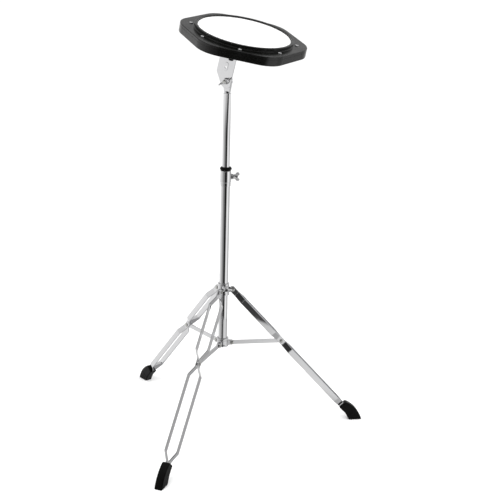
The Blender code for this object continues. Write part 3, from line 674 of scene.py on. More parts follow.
# ---- frames and the workshop ------------------------------------------------
class Frames:
    """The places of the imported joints, and the local frames that follow from them."""

    def __init__(self, joints: list[dict]) -> None:
        """Keep the joints by name."""
        self.joints = {joint["name"]: joint for joint in joints}
        centre = self.place("tilter_swivel")
        self.mast = Matrix.Translation((centre.x, centre.y, 0))

    def place(self, joint: str) -> Vector:
        """A point on the joint's axis."""
        return Vector(self.joints[joint]["pos_m"])

    def axis(self, joint: str) -> Vector:
        """The joint's direction."""
        return Vector(self.joints[joint]["axis"]).normalized()

    def bolt(self, joint: str) -> Matrix:
        """The frame of a level bolt through the mast: X along it, Z up, on the mast's axis."""
        x = self.axis(joint)
        height = self.place(joint).z
        return axes(self.mast.translation + Z * height, x, Z.cross(x), Z)

    def leg(self, number: int, slope: float) -> Matrix:
        """A leg's frame: X down the leg from its rivet and Y along the rivet."""
        y = self.axis(f"leg_{number}_hinge")
        x = y.cross(Z) * cos(slope) - Z * sin(slope)
        return axes(self.place(f"leg_{number}_hinge"), x, y, x.cross(y))

    def stay(self, number: int) -> Matrix:
        """A stay's frame: X outward from its collar's rivet and Y along the rivet."""
        y = -self.axis(f"stay_{number}_hinge")
        return axes(self.place(f"stay_{number}_hinge"), y.cross(Z), y, Z)

    def tilter(self) -> Matrix:
        """The tilter's frame at its pivot: Y along the pivot, Z up."""
        y = self.axis("pad_tilt")
        return axes(self.place("pad_tilt"), y.cross(Z), y, Z)

    def bracket(self) -> Matrix:
        """The bracket's frame at its pivot: Y along the pivot, Z up its plate."""
        y = self.axis("pad_tilt")
        x = y.cross(self.axis("pad_turn")).normalized()
        return axes(self.place("pad_tilt"), x, y, x.cross(y))

    def mount(self) -> Matrix:
        """The pad bolt's frame on the flange: Z along the bolt."""
        x = self.bracket().to_3x3().col[0]
        z = self.axis("pad_turn")
        return axes(self.place("pad_turn"), x, z.cross(x), z)

    def pad(self, lift: float) -> Matrix:
        """The pad's frame on its underside: -Y toward the first tension screw."""
        z = self.axis("pad_turn")
        origin = self.place("pad_turn") + z * lift
        out = self.place("tension_screw_1_turn") - origin
        y = -(out - z * out.dot(z)).normalized()
        return axes(origin, y.cross(z), y, z)


class Workshop:
    """The finishes, rules and frames that every sub-assembly is made with."""

    def __init__(self) -> None:
        """Make the materials and the node trees."""
        self.frames = Frames(frame["joints"])
        self.materials = {finish.name: finish.build() for finish in FINISHES}
        real = "NodeSocketFloat"
        whole = "NodeSocketInt"
        self.bar = Rule("flat_bar", {
            "Width": real, "Thickness": real, "Edge": real, "Start": real, "End": real,
        }, bar_rule)
        self.ring = Rule("ring_of_pieces", {
            "Count": whole, "Radius": real, "Turn": real, "Pick": whole,
        }, ring_rule)
        self.count = 0

    def settle(self, obj: bpy.types.Object, name: str, finish: Finish, body: str,
               nodes: Sequence[str], place: Matrix = Matrix.Identity(4),
               sharp: float = 38.0) -> bpy.types.Object:
        """Finish a piece: put its mesh in place, dress it and hang it on its body.

        Args:
            obj: the piece, built in its local frame.
            name: the piece's name.
            finish: its surface.
            body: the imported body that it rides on.
            nodes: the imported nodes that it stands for.
            place: its local frame.
            sharp: the angle from which its edges are drawn sharp.

        Returns:
            The piece.
        """
        bake(obj)
        move(obj, place)
        obj.data.materials.clear()
        obj.data.materials.append(self.materials[finish.name])
        obj.data.shade_smooth()
        obj.data.set_sharp_from_angle(angle=radians(sharp))
        even = obj.modifiers.new("even_shading", "WEIGHTED_NORMAL")
        even.keep_sharp = True
        bake(obj)
        obj.name = name
        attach(obj, body)
        if nodes:
            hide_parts(*nodes)
        self.count += 1
        LOG.info("%s: %d faces on %s", obj.name, len(obj.data.polygons), body)
        return obj


# ---- shared hardware --------------------------------------------------------
@dataclass(frozen=True)
class Wings:
    """The sizes of a two-winged head, along X from its seat."""

    foot_r: float = 5.2 * MM
    top_r: float = 3.8 * MM
    length: float = 9 * MM
    root: Point = (4 * MM, 2 * MM)
    root_r: float = 3.2 * MM
    tip: Point = (8.5 * MM, 8.6 * MM)
    tip_r: float = 4.2 * MM
    thickness: float = 2.6 * MM

    def build(self, seat: float) -> bpy.types.Object:
        """Make the head.

        Args:
            seat: where its foot stands on X.

        Returns:
            The head's solid.
        """
        length = self.length
        profile = soften([
            (0, length), (self.top_r, length), (self.top_r + 0.1 * MM, length * 0.55),
            (self.foot_r * 0.92, length * 0.22), (self.foot_r, length * 0.18), (self.foot_r, 0),
            (0, 0),
        ], 0.7 * MM, 4)
        head = move(lathe("head", profile, 40), Matrix.Translation((seat, 0, 0)) @ ALONG_X)
        for side in (-1, 1):
            root = (seat + self.root[0], side * self.root[1])
            tip = (seat + self.tip[0], side * self.tip[1])
            angle = atan2(tip[1] - root[1], tip[0] - root[0])
            outline = (arc(tip, self.tip_r, angle - pi / 2, angle + pi / 2, 18)
                       + arc(root, self.root_r, angle + pi / 2, angle + 3 * pi / 2, 8))
            half = self.thickness / 2
            wing = prism("wing", [outline], -half, half, 0.9 * MM, 4)
            combine(head, [wing], "UNION")
        return head


def threaded_rod(radius: float, low: float, high: float, thread: Thread,
                 steps: int = 32) -> bpy.types.Object:
    """A rod along Z with a thread over part of it."""
    return lathe("rod", rod_profile(radius, low, high, thread.pitch / 6), steps, thread)


def rivet(half: float, radius: float = 2.2 * MM, head_r: float = 4 * MM,
          head: float = 1.4 * MM, one_end: float | None = None) -> bpy.types.Object:
    """A rivet along Z with a domed head at each end, or at the upper one only.

    Args:
        half: how far the heads' seats are from the middle.
        radius: the shank's radius.
        head_r: the heads' radius.
        head: the heads' height.
        one_end: where the shank starts, if it has one head.

    Returns:
        The rivet's solid.
    """
    top = dome(head_r, half + 0.25 * head, 0.75 * head) + [(head_r, half), (radius, half)]
    if one_end is not None:
        return lathe("rivet", top + [(radius, one_end), (0, one_end)], 32)
    return lathe("rivet", top + [(r, -z) for r, z in reversed(top)], 32)


# ---- mast -------------------------------------------------------------------
@dataclass
class Mast:
    """The two tubes, the plug in the lower one's foot and the height clamp."""

    wall: float = 1.2 * MM
    rim: float = 0.45 * MM
    collar_r: float = 11.6 * MM
    boss_r: float = 6 * MM
    boss_reach: float = 4.4 * MM
    bolt_r: float = 3 * MM
    bush_r: float = 12.4 * MM
    bush_neck_r: float = 10.4 * MM
    wings_roll: float = radians(-55)
    plug_flange: float = 2.7 * MM
    plug_ribs: int = 4

    def build(self, shop: Workshop) -> None:
        """Make the mast's pieces."""
        self.place = shop.frames.mast
        lower = self.tube(shop, "lower_tube", "mast")
        upper = self.tube(shop, "upper_tube", "upper_mast")
        self.plug(shop, lower)
        self.clamp(shop, lower)
        self.bush(shop, upper)

    def tube(self, shop: Workshop, node: str, body: str) -> float:
        """Make one tube with rolled rims; returns its outer radius."""
        low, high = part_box(node)
        radius = (high.x - low.x) / 2
        inner = radius - self.wall
        outline = soften([(radius, high.z), (radius, low.z), (inner, low.z), (inner, high.z)],
                         self.rim, 4)
        shop.settle(lathe(node, outline, 128), node + "_skin", CHROME, body, [node], self.place)
        return radius

    def plug(self, shop: Workshop, tube_r: float) -> None:
        """Make the plug in the tube's foot, with a dished face and a ribbed shank."""
        low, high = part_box("tube_end_plug")
        shank = tube_r - self.wall - GAP
        shoulder = low.z + self.plug_flange
        ribs: Profile = []
        for i in range(self.plug_ribs):
            base = high.z - (1.2 + 1.7 * i) * MM
            ribs += [(shank, base), (shank, base - 0.8 * MM), (shank - 0.4 * MM, base - 1.1 * MM)]
        outline = ([(0, high.z), (shank - 0.6 * MM, high.z)] + ribs
                   + [(shank, shoulder), (tube_r, shoulder), (tube_r, low.z),
                      (tube_r - 3 * MM, low.z), (tube_r - 4 * MM, low.z + 0.8 * MM),
                      (0, low.z + 0.8 * MM)])
        plug = lathe("plug", soften(outline, 0.5 * MM, 3), 64)
        shop.settle(plug, "tube_foot_plug", NYLON, "mast", ["tube_end_plug"], self.place)

    def clamp(self, shop: Workshop, tube_r: float) -> None:
        """Make the height collar with its boss, and the wing bolt in it."""
        low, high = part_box("height_collar")
        bore = tube_r + GAP
        r = self.collar_r
        outline = soften([
            (r, high.z), (r, low.z + 9 * MM), (r - 0.5 * MM, low.z + 8 * MM),
            (r - 0.9 * MM, low.z), (bore, low.z), (bore, high.z),
        ], 0.9 * MM, 4)
        collar = move(lathe("collar", outline, 96), self.place)
        place = shop.frames.bolt("height_bolt_turn")
        seat = r + self.boss_reach
        add_boss(collar, place, (seat, bore + 0.6 * MM), (self.boss_r, self.boss_r), self.bolt_r)
        shop.settle(collar, "height_clamp_collar", CHROME, "mast", ["height_collar"])
        wing_bolt(shop, "height_wing_screw", "height_wing_bolt", "height_bolt",
                  place @ Matrix.Rotation(self.wings_roll, 4, "X"), tube_r + GAP, seat + GAP,
                  self.bolt_r)

    def bush(self, shop: Workshop, tube_r: float) -> None:
        """Make the split nylon bush on the collar, with a pointed and notched edge."""
        low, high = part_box("height_bush")
        bore = tube_r + GAP
        middle = (low.z + high.z) / 2
        outline = soften([
            (self.bush_neck_r, high.z), (self.bush_r, middle + 0.9 * MM),
            (self.bush_r, middle - 0.9 * MM), (self.bush_neck_r, low.z), (bore, low.z),
            (bore, high.z),
        ], 0.6 * MM, 3)
        bush = lathe("bush", outline, 96)
        notch = cylinder(0.9 * MM, low.z - MM, high.z + MM, steps=12)
        shop.ring.apply(notch, Count=12, Radius=self.bush_r + 0.3 * MM, Turn=0.2, Pick=-1)
        combine(bush, [notch], "DIFFERENCE")
        slot = box((0, -0.6 * MM, low.z + 1.6 * MM), (20 * MM, 0.6 * MM, high.z + MM))
        combine(bush, [move(slot, Matrix.Rotation(radians(140), 4, "Z"))], "DIFFERENCE")
        shop.settle(bush, "height_nylon_bush", NYLON, "mast", ["height_bush"], self.place)


def add_boss(collar: bpy.types.Object, place: Matrix, reach: Point, radii: Point,
             bolt_r: float) -> None:
    """Join a turned boss along X to a collar and drill it for its bolt.

    Args:
        collar: the collar to change.
        place: the bolt's frame.
        reach: where the boss ends and where it starts on X.
        radii: its radius at its end and at its start.
        bolt_r: the bolt's radius.
    """
    outline = soften([(0, reach[0]), (radii[0], reach[0]), (radii[1], reach[1]), (0, reach[1])],
                     0.7 * MM, 4)
    combine(collar, [move(lathe("boss", outline, 48), place @ ALONG_X)], "UNION")
    hole = cylinder(bolt_r + GAP, 5 * MM, 30 * MM, X)
    combine(collar, [move(hole, place)], "DIFFERENCE")


def wing_bolt(shop: Workshop, name: str, node: str, body: str, place: Matrix,
              tip: float, seat: float, radius: float) -> None:
    """Make a wing bolt along X.

    Args:
        shop: the workshop.
        name: the piece's name.
        node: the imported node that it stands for.
        body: the body that it rides on.
        place: its frame.
        tip: where its end is on X.
        seat: where its head stands on X.
        radius: its shank's radius.
    """
    bolt = Wings().build(seat)
    thread = Thread(tip, seat - 1 * MM)
    shank = move(threaded_rod(radius, tip, seat + MM, thread), ALONG_X)
    combine(bolt, [shank], "UNION")
    shop.settle(bolt, name, CAST_CHROME, body, [node], place)


# ---- collars with ears ------------------------------------------------------
@dataclass
class EaredCollar:
    """A cast collar round the lower tube, with an ear or a pair of cheeks for each leg."""

    node: str
    name: str
    body: str
    radius: float
    pivot_r: float
    pivot_z: float
    ear_half: float
    reach: float
    slot_half: float = 0.0
    tube_r: float = 9.525 * MM
    hole_r: float = 2.5 * MM

    def shape(self, shop: Workshop) -> bpy.types.Object:
        """Cast the collar with its ears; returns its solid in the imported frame."""
        low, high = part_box(self.node)
        bore = self.tube_r + GAP
        middle = (low.z + high.z) / 2
        waist = self.radius - 0.5 * MM
        outline = soften([
            (self.radius, high.z), (self.radius, high.z - 4 * MM), (waist, high.z - 5 * MM),
            (waist, middle), (waist, low.z + 5 * MM), (self.radius, low.z + 4 * MM),
            (self.radius, low.z), (bore, low.z), (bore, high.z),
        ], 0.9 * MM, 4)
        collar = lathe("collar", outline, 96)
        for number in range(1, LEG_COUNT + 1):
            turn = Matrix.Rotation(2 * pi * (number - 1) / LEG_COUNT, 4, "Z")
            place = Matrix.Translation((0, 0, self.pivot_z)) @ turn
            root = self.tube_r + 1.4 * MM
            neck = self.pivot_r - 4 * MM
            side = ([(root, -self.reach - 1.2 * MM), (neck, -self.reach)]
                    + arc((self.pivot_r, 0), self.reach, -pi / 2, pi / 2, 20)
                    + [(neck, self.reach), (root, self.reach + 1.2 * MM)])
            ear = prism("ear", [side], -self.ear_half, self.ear_half, 0.7 * MM, 3)
            combine(collar, [move(ear, place @ UPRIGHT)], "UNION")
            across = cylinder(self.hole_r, -15 * MM, 15 * MM, Y, X * self.pivot_r)
            combine(collar, [move(across, place)], "DIFFERENCE")
            if self.slot_half:
                slot = box((self.radius + 0.6 * MM, -self.slot_half, -12 * MM),
                           (self.pivot_r + 12 * MM, self.slot_half, 12 * MM))
                combine(collar, [move(slot, place)], "DIFFERENCE")
        return move(collar, shop.frames.mast)

    def settle(self, shop: Workshop, collar: bpy.types.Object) -> None:
        """Dress the collar and hang it on its body."""
        shop.settle(collar, self.name, CAST_CHROME, self.body, [self.node])


@dataclass
class Hub:
    """The sliding leg hub, its wing bolt and the fixed stay collar below it."""

    boss_r: float = 5.6 * MM
    boss_reach: float = 7 * MM
    bolt_r: float = 3 * MM
    hub_r: float = 12.6 * MM
    hub_reach: float = 5.4 * MM
    stay_collar_r: float = 13 * MM
    stay_reach: float = 5 * MM
    ear: float = 3 * MM
    slot_half: float = 1.8 * MM
    cheek: float = 2 * MM

    def build(self, shop: Workshop) -> None:
        """Make both collars and the hub's bolt."""
        axis = shop.frames.mast.translation
        leg = shop.frames.place("leg_1_hinge")
        stay = shop.frames.place("stay_1_hinge")
        hub = EaredCollar("leg_hub", "leg_hub_casting", "hub", self.hub_r, leg.x - axis.x, leg.z,
                          self.ear / 2, self.hub_reach)
        casting = hub.shape(shop)
        place = shop.frames.bolt("hub_bolt_turn")
        end = self.hub_r + self.boss_reach
        start = hub.tube_r + 1.2 * MM
        add_boss(casting, place, (end, start), (self.boss_r, self.boss_r + 0.6 * MM), self.bolt_r)
        hub.settle(shop, casting)
        wing_bolt(shop, "hub_wing_screw", "hub_wing_bolt", "hub_bolt", place,
                  hub.tube_r + GAP, end + GAP, self.bolt_r)
        lower = EaredCollar("stay_collar", "stay_collar_casting", "mast", self.stay_collar_r,
                            stay.x - axis.x, stay.z, self.slot_half + self.cheek,
                            self.stay_reach, self.slot_half)
        lower.settle(shop, lower.shape(shop))


# ---- legs and stays ---------------------------------------------------------
@dataclass
class Leg:
    """One leg: two bent straps, their rivets and the rubber boot at their end."""

    number: int
    joint_s: float = 164.5 * MM
    width: float = 12.7 * MM
    thickness: float = 2.2 * MM
    spread: float = 13.2 * MM
    ear: float = 3 * MM
    bend_r: float = 6 * MM
    strap_end: float = 398 * MM
    boot_top: float = 380 * MM
    boot_toe: float = 445 * MM
    boot_heel: Point = (400 * MM, -6.8 * MM)
    boot_back: Point = (-7.7 * MM, -16.5 * MM)
    crown: Point = (408 * MM, 17.5 * MM)
    crown_r: float = 68 * MM
    boot_width: float = 17 * MM

    def build(self, shop: Workshop) -> None:
        """Make the leg's pieces."""
        hinge = shop.frames.place(f"leg_{self.number}_hinge")
        joint = shop.frames.place(f"stay_{self.number}_hinge")
        self.slope = asin((hinge.z - joint.z) / self.joint_s)
        self.reach = hinge.z / sin(self.slope)
        self.place = shop.frames.leg(self.number, self.slope)
        self.body = f"leg_{self.number}"
        self.inner = self.ear / 2 + GAP + self.thickness / 2
        for side, hand in ((1, "left"), (-1, "right")):
            self.strap(shop, side, hand)
        self.boot(shop)
        self.rivets(shop)

    def path(self, side: int) -> list[Vector]:
        """The strap's centre line in (distance down the leg, sideways)."""
        near = side * self.inner
        wide = side * self.spread
        joint = self.joint_s
        half = self.width / 2
        start = -half
        end = self.strap_end - MM
        stations = [
            (start, near), (14 * MM, near), (32 * MM, wide), (joint - 30 * MM, wide),
            (joint - 10 * MM, near), (joint + 9 * MM, near), (joint + 27 * MM, wide),
            (self.boot_top - 24 * MM, wide), (self.boot_top - 4 * MM, near), (end, near),
        ]
        line = [Vector(stations[0])]
        for before, at, after in zip(stations, stations[1:], stations[2:]):
            line += bend(Vector(before), Vector(at), Vector(after), self.bend_r, 6)
        line.append(Vector(stations[-1]))
        tips = [Vector((start + half * (1 - cos(pi / 2 * i / 10)), near)) for i in range(1, 11)]
        toes = [Vector((end - half * (1 - cos(pi / 2 * i / 10)), near)) for i in range(10, 0, -1)]
        return line[:1] + tips + line[1:-1] + toes + line[-1:]

    def strap(self, shop: Workshop, side: int, hand: str) -> None:
        """Sweep one strap along its bends."""
        line = self.path(side)
        mesh = bpy.data.meshes.new("strap")
        mesh.from_pydata([(p.x, p.y, 0) for p in line],
                         [(i, i + 1) for i in range(len(line) - 1)], [])
        strap = put("strap", mesh)
        shop.bar.apply(strap, Width=self.width, Thickness=self.thickness, Edge=0.85 * MM,
                       Start=line[0].x, End=line[-1].x)
        shop.settle(strap, f"leg_{self.number}_bar_{hand}", CHROME, self.body,
                    [f"leg_{self.number}_strap_{hand}"], self.place)

    def boot_outline(self) -> Profile:
        """The boot's side: a bent back, and an arched front round a centre below the leg."""
        crown_s, crown_out = self.crown
        toe_angle = asin((self.boot_toe - crown_s) / self.crown_r)
        top_angle = asin((self.boot_top - crown_s) / self.crown_r)
        top = (self.boot_top, self.boot_back[0])
        toe = (self.boot_toe, self.boot_back[1])
        heel = soften([top, self.boot_heel, toe], 10 * MM, 6)[7:-7]
        centre = (crown_s, crown_out - self.crown_r)
        front = arc(centre, self.crown_r, pi / 2 - toe_angle, pi / 2 - top_angle, 24)
        return [top] + heel + [toe] + front

    def boot(self, shop: Workshop) -> None:
        """Mould the boot: rounded body, side flutes and a grooved level sole."""
        half = self.boot_width / 2
        boot = move(prism("boot", [self.boot_outline()], -half, half, 2.6 * MM, 5), UPRIGHT)
        room = self.inner + self.thickness / 2 + GAP
        deep = self.width / 2 + GAP
        socket = box((self.boot_top - 9 * MM, -room, -deep), (self.strap_end + GAP, room, deep))
        flutes = []
        for side in (-1, 1):
            for i in range(3):
                s = self.boot_top + (30 + 8 * i) * MM
                flute = prism("flute", [rounded_strip(-5.5 * MM, 5.5 * MM, 2.2 * MM, 8)],
                              -0.5 * MM, 0.5 * MM)
                stand = Matrix.Translation((s, side * half, 1.5 * MM)) @ UPRIGHT
                flutes.append(move(flute, stand @ Matrix.Rotation(radians(78), 4, "Z")))
        sole = Matrix.Translation((self.reach, 0, 0)) @ Matrix.Rotation(-self.slope, 4, "Y")
        far = 80 * MM
        floor = move(box((-far, -far, -far), (far, far, 0)), sole)
        grooves = [move(box((x, -far, -far), (x + 1.6 * MM, far, 1.3 * MM)), sole)
                   for x in (i * 4.5 * MM - 12 * MM for i in range(6))]
        combine(boot, [socket] + flutes + [floor] + grooves, "DIFFERENCE")
        shop.settle(boot, f"leg_{self.number}_boot", RUBBER, self.body,
                    [f"leg_{self.number}_foot"], self.place)

    def rivets(self, shop: Workshop) -> None:
        """Set the hub's rivet and the two half rivets at the stay."""
        outer = self.inner + self.thickness / 2 + GAP
        across = Matrix.Rotation(-pi / 2, 4, "X")
        name = f"leg_{self.number}"
        shop.settle(rivet(outer), name + "_top_rivet", ZINC, self.body, [name + "_hub_rivet"],
                    self.place @ across)
        joint = self.place @ Matrix.Translation(X * self.joint_s)
        for hand, turn in (("left", -pi / 2), ("right", pi / 2)):
            pin = rivet(outer, one_end=self.inner - self.thickness / 2)
            shop.settle(pin, f"{name}_brace_rivet_{hand}", ZINC, self.body,
                        [f"{name}_stay_rivet_{hand}"], joint @ Matrix.Rotation(turn, 4, "X"))


@dataclass
class Stay:
    """One flat stay between the lower collar and its leg, and its collar's rivet."""

    number: int
    width: float = 9 * MM
    thickness: float = 3 * MM
    hole_r: float = 2.5 * MM
    cheek: float = 2 * MM

    def build(self, shop: Workshop) -> None:
        """Make the stay and its rivet."""
        place = shop.frames.stay(self.number)
        name = f"stay_{self.number}"
        low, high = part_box("stay_1")
        length = high.x - low.x - self.width
        half = self.thickness / 2
        holes = [polygon(self.hole_r, centre=(at, 0)) for at in (0, length)]
        bar = prism(name, [rounded_strip(0, length, self.width)] + holes, -half, half, 0.6 * MM, 3)
        shop.settle(move(bar, UPRIGHT), name + "_bar", CHROME, name, [name], place)
        pin = rivet(half + 2 * GAP + self.cheek)
        shop.settle(pin, name + "_pin", ZINC, "mast", [name + "_collar_rivet"],
                    place @ Matrix.Rotation(-pi / 2, 4, "X"))


# ---- tilter -----------------------------------------------------------------
@dataclass
class Tilter:
    """The stem with its flattened ear, the pivot bolt, the wing nut and the bent bracket."""

    stem_r: float = 6.1 * MM
    ear: float = 6 * MM
    ear_r: float = 11 * MM
    flat: float = 24 * MM
    bolt_r: float = 3 * MM
    head_r: float = 6 * MM
    head: float = 4.5 * MM
    plate: float = 2.5 * MM
    nut_turn: float = radians(35)

    def build(self, shop: Workshop) -> None:
        """Make the tilter's pieces."""
        self.front = self.ear / 2 + GAP + self.plate + GAP
        self.stem(shop)
        self.bolt(shop)
        self.nut(shop)
        Bracket(plate_y=-(self.ear / 2 + GAP), plate=self.plate).build(shop)

    def stem(self, shop: Workshop) -> None:
        """Make the rod with its rounded foot, shoulder and pressed ear."""
        place = shop.frames.tilter()
        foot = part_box("tilter_stem")[0].z - place.translation.z
        top = -self.flat + 3 * MM
        outline = soften([(0, top), (self.stem_r - 1.5 * MM, top), (self.stem_r, top - 3 * MM),
                          (self.stem_r, foot), (0, foot)], 0.9 * MM, 4)
        rod = lathe("stem", outline, 64)
        half = self.ear / 2
        neck = [(-self.stem_r, -self.flat), (self.stem_r, -self.flat)]
        shape = soften(neck + arc((0, 0), self.ear_r, -0.55, pi + 0.55, 40), 2 * MM, 5)
        ear = prism("ear", [shape, polygon(self.bolt_r + GAP)], -half, half, 0.8 * MM, 3)
        combine(rod, [move(ear, UPRIGHT)], "UNION")
        shop.settle(rod, "tilter_stem_rod", CHROME, "tilter", ["tilter_stem"], place)

    def bolt(self, shop: Workshop) -> None:
        """Make the pivot bolt: hexagon head behind, thread in front."""
        back = self.ear / 2 + GAP
        end = self.front + 13 * MM
        head = prism("head", [polygon(self.head_r, 6)], -back - self.head, -back, 0.45 * MM, 2)
        washer = soften([(0, -back), (self.head_r + 0.9 * MM, -back),
                         (self.head_r + 0.9 * MM, -back - 0.8 * MM), (0, -back - 0.8 * MM)],
                        0.25 * MM, 2)
        shank = threaded_rod(self.bolt_r, -back - MM, end, Thread(self.front, end))
        combine(head, [lathe("washer", washer, 40), shank], "UNION")
        shop.settle(head, "pivot_bolt", ZINC, "tilter", ["tilter_bolt"],
                    shop.frames.tilter() @ ALONG_MINUS_Y)

    def nut(self, shop: Workshop) -> None:
        """Make the wing nut in front of the bracket."""
        wings = Wings(6.6 * MM, 4.9 * MM, 8 * MM, (4 * MM, 3 * MM), 3.6 * MM,
                      (10.5 * MM, 9.6 * MM), 5 * MM, 2.8 * MM)
        nut = wings.build(0)
        bore = cylinder(self.bolt_r + GAP, -5 * MM, 30 * MM, X)
        combine(nut, [bore], "DIFFERENCE")
        tilter = shop.frames.tilter()
        out = Matrix.Translation((0, -self.front, 0)) @ Matrix.Rotation(-pi / 2, 4, "Z")
        place = tilter @ out @ Matrix.Rotation(self.nut_turn, 4, "X")
        shop.settle(nut, "pivot_wing_nut", CAST_CHROME, "tilter_nut", ["tilter_wing_nut"], place)


@dataclass
class Bracket:
    """The bent plate that carries the pad, with its bolt and washer."""

    plate_y: float
    plate: float
    width: float = 37 * MM
    offset: float = -8 * MM           # how far its wide part stands to one side
    low_r: float = 14.5 * MM
    shoulder: float = 14 * MM
    rise: float = 70.9 * MM
    bend_r: float = 3.4 * MM
    tail: float = 43.6 * MM
    tail_corner_r: float = 7 * MM
    bolt_r: float = 4 * MM
    bolt_end: float = 11 * MM
    bolt_pitch: float = 1.25 * MM
    head_r: float = 6.6 * MM
    head: float = 5 * MM
    pivot_r: float = 3.3 * MM
    spare_z: float = 27 * MM
    spare_r: float = 2.2 * MM
    washer: float = 1.4 * MM
    washer_r: float = 13 * MM

    def build(self, shop: Workshop) -> None:
        """Make the bracket, its bolt and its washer."""
        place = shop.frames.bracket()
        mount = shop.frames.mount()
        normal = place.inverted().to_3x3() @ mount.to_3x3().col[2]
        lean = atan2(-normal.y, normal.z)
        plate = self.profile(lean)
        combine(plate, [self.silhouette()], "INTERSECT")
        spare = Vector((self.offset, 0, self.spare_z))
        holes = [cylinder(self.pivot_r, -20 * MM, 20 * MM, Y),
                 cylinder(self.spare_r, -20 * MM, 20 * MM, Y, spare)]
        bolt_hole = cylinder(self.bolt_r + GAP, -9 * MM, 6 * MM)
        holes.append(move(bolt_hole, place.inverted() @ mount))
        combine(plate, holes, "DIFFERENCE")
        round_edges(plate, 0.4 * MM, 2)
        bake(plate)
        combine(plate, [self.embossing()], "UNION")
        shop.settle(plate, "tilt_plate", CHROME, "bracket", ["tilt_bracket"], place)
        self.fixings(shop, mount)

    def profile(self, lean: float) -> bpy.types.Object:
        """The bent strip seen from the side, across the bracket's width."""
        face = self.plate_y - self.plate
        top = self.rise
        out = Vector((cos(lean), sin(lean)))
        up = Vector((-sin(lean), cos(lean)))
        corner = Vector((face, top))
        end = corner + out * (self.tail - face)
        under = end - up * self.plate
        inner = Vector((self.plate_y, top - self.plate + tan(lean) * self.plate))
        low = -20 * MM
        first = Vector((face, low))
        last = Vector((self.plate_y, low))
        outline = ([first] + bend(first, corner, end, self.bend_r, 8) + [end, under]
                   + bend(under, inner, last, self.bend_r - self.plate, 8) + [last])
        strip = prism("strip", [outline], self.offset - self.width / 2,
                      self.offset + self.width / 2)
        return move(strip, Matrix(((0, 0, 1, 0), (1, 0, 0, 0), (0, 1, 0, 0), (0, 0, 0, 1))))

    def silhouette(self) -> bpy.types.Object:
        """The bracket's front, to cut the bent strip to, with the tail's corners rounded."""
        left = self.offset - self.width / 2
        right = self.offset + self.width / 2
        front = (arc((0, 0), self.low_r, pi + 0.35, 2 * pi - 0.35, 28)
                 + [(right, self.shoulder), (right, 90 * MM), (left, 90 * MM),
                    (left, self.shoulder)])
        front = soften(front, 5 * MM, 6)
        blank = move(prism("front", [front], -60 * MM, 60 * MM), UPRIGHT)
        corner = self.tail_corner_r
        tail = [(left, -20 * MM), (right, -20 * MM)]
        tail += arc((right - corner, self.tail - corner), corner, 0, pi / 2, 10)
        tail += arc((left + corner, self.tail - corner), corner, pi / 2, pi, 10)
        return combine(blank, [prism("tail", [tail], -40 * MM, 100 * MM)], "INTERSECT")

    def embossing(self) -> bpy.types.Object:
        """The low pressed oval round the spare hole."""
        face = self.plate_y - self.plate
        outline = rounded_strip(self.spare_z - 2.5 * MM, self.spare_z + 5.5 * MM, 9.5 * MM, 20)
        hole = polygon(self.spare_r, centre=(self.spare_z, 0))
        oval = prism("oval", [outline, hole], -0.4 * MM, 0.6 * MM, 0.35 * MM, 3)
        place = Matrix(((0, 1, 0, self.offset), (0, 0, -1, face), (1, 0, 0, 0), (0, 0, 0, 1)))
        return move(oval, place)

    def fixings(self, shop: Workshop, mount: Matrix) -> None:
        """Make the pad's bolt, hexagon head down, and its rubber washer."""
        seat = -self.plate - GAP
        bolt = prism("head", [polygon(self.head_r, 6)], seat - self.head, seat, 0.5 * MM, 2)
        thread = Thread(GAP, self.bolt_end, self.bolt_pitch)
        shank = threaded_rod(self.bolt_r, seat - MM, self.bolt_end, thread)
        combine(bolt, [shank], "UNION")
        shop.settle(bolt, "pad_bolt", ZINC, "bracket", ["mount_bolt"], mount)
        top = GAP + self.washer
        ring = soften([(self.washer_r, top), (self.washer_r, GAP), (self.bolt_r + GAP, GAP),
                       (self.bolt_r + GAP, top)], 0.45 * MM, 4)
        shop.settle(lathe("washer", ring, 72), "pad_washer", RUBBER, "bracket", ["mount_washer"],
                    mount)


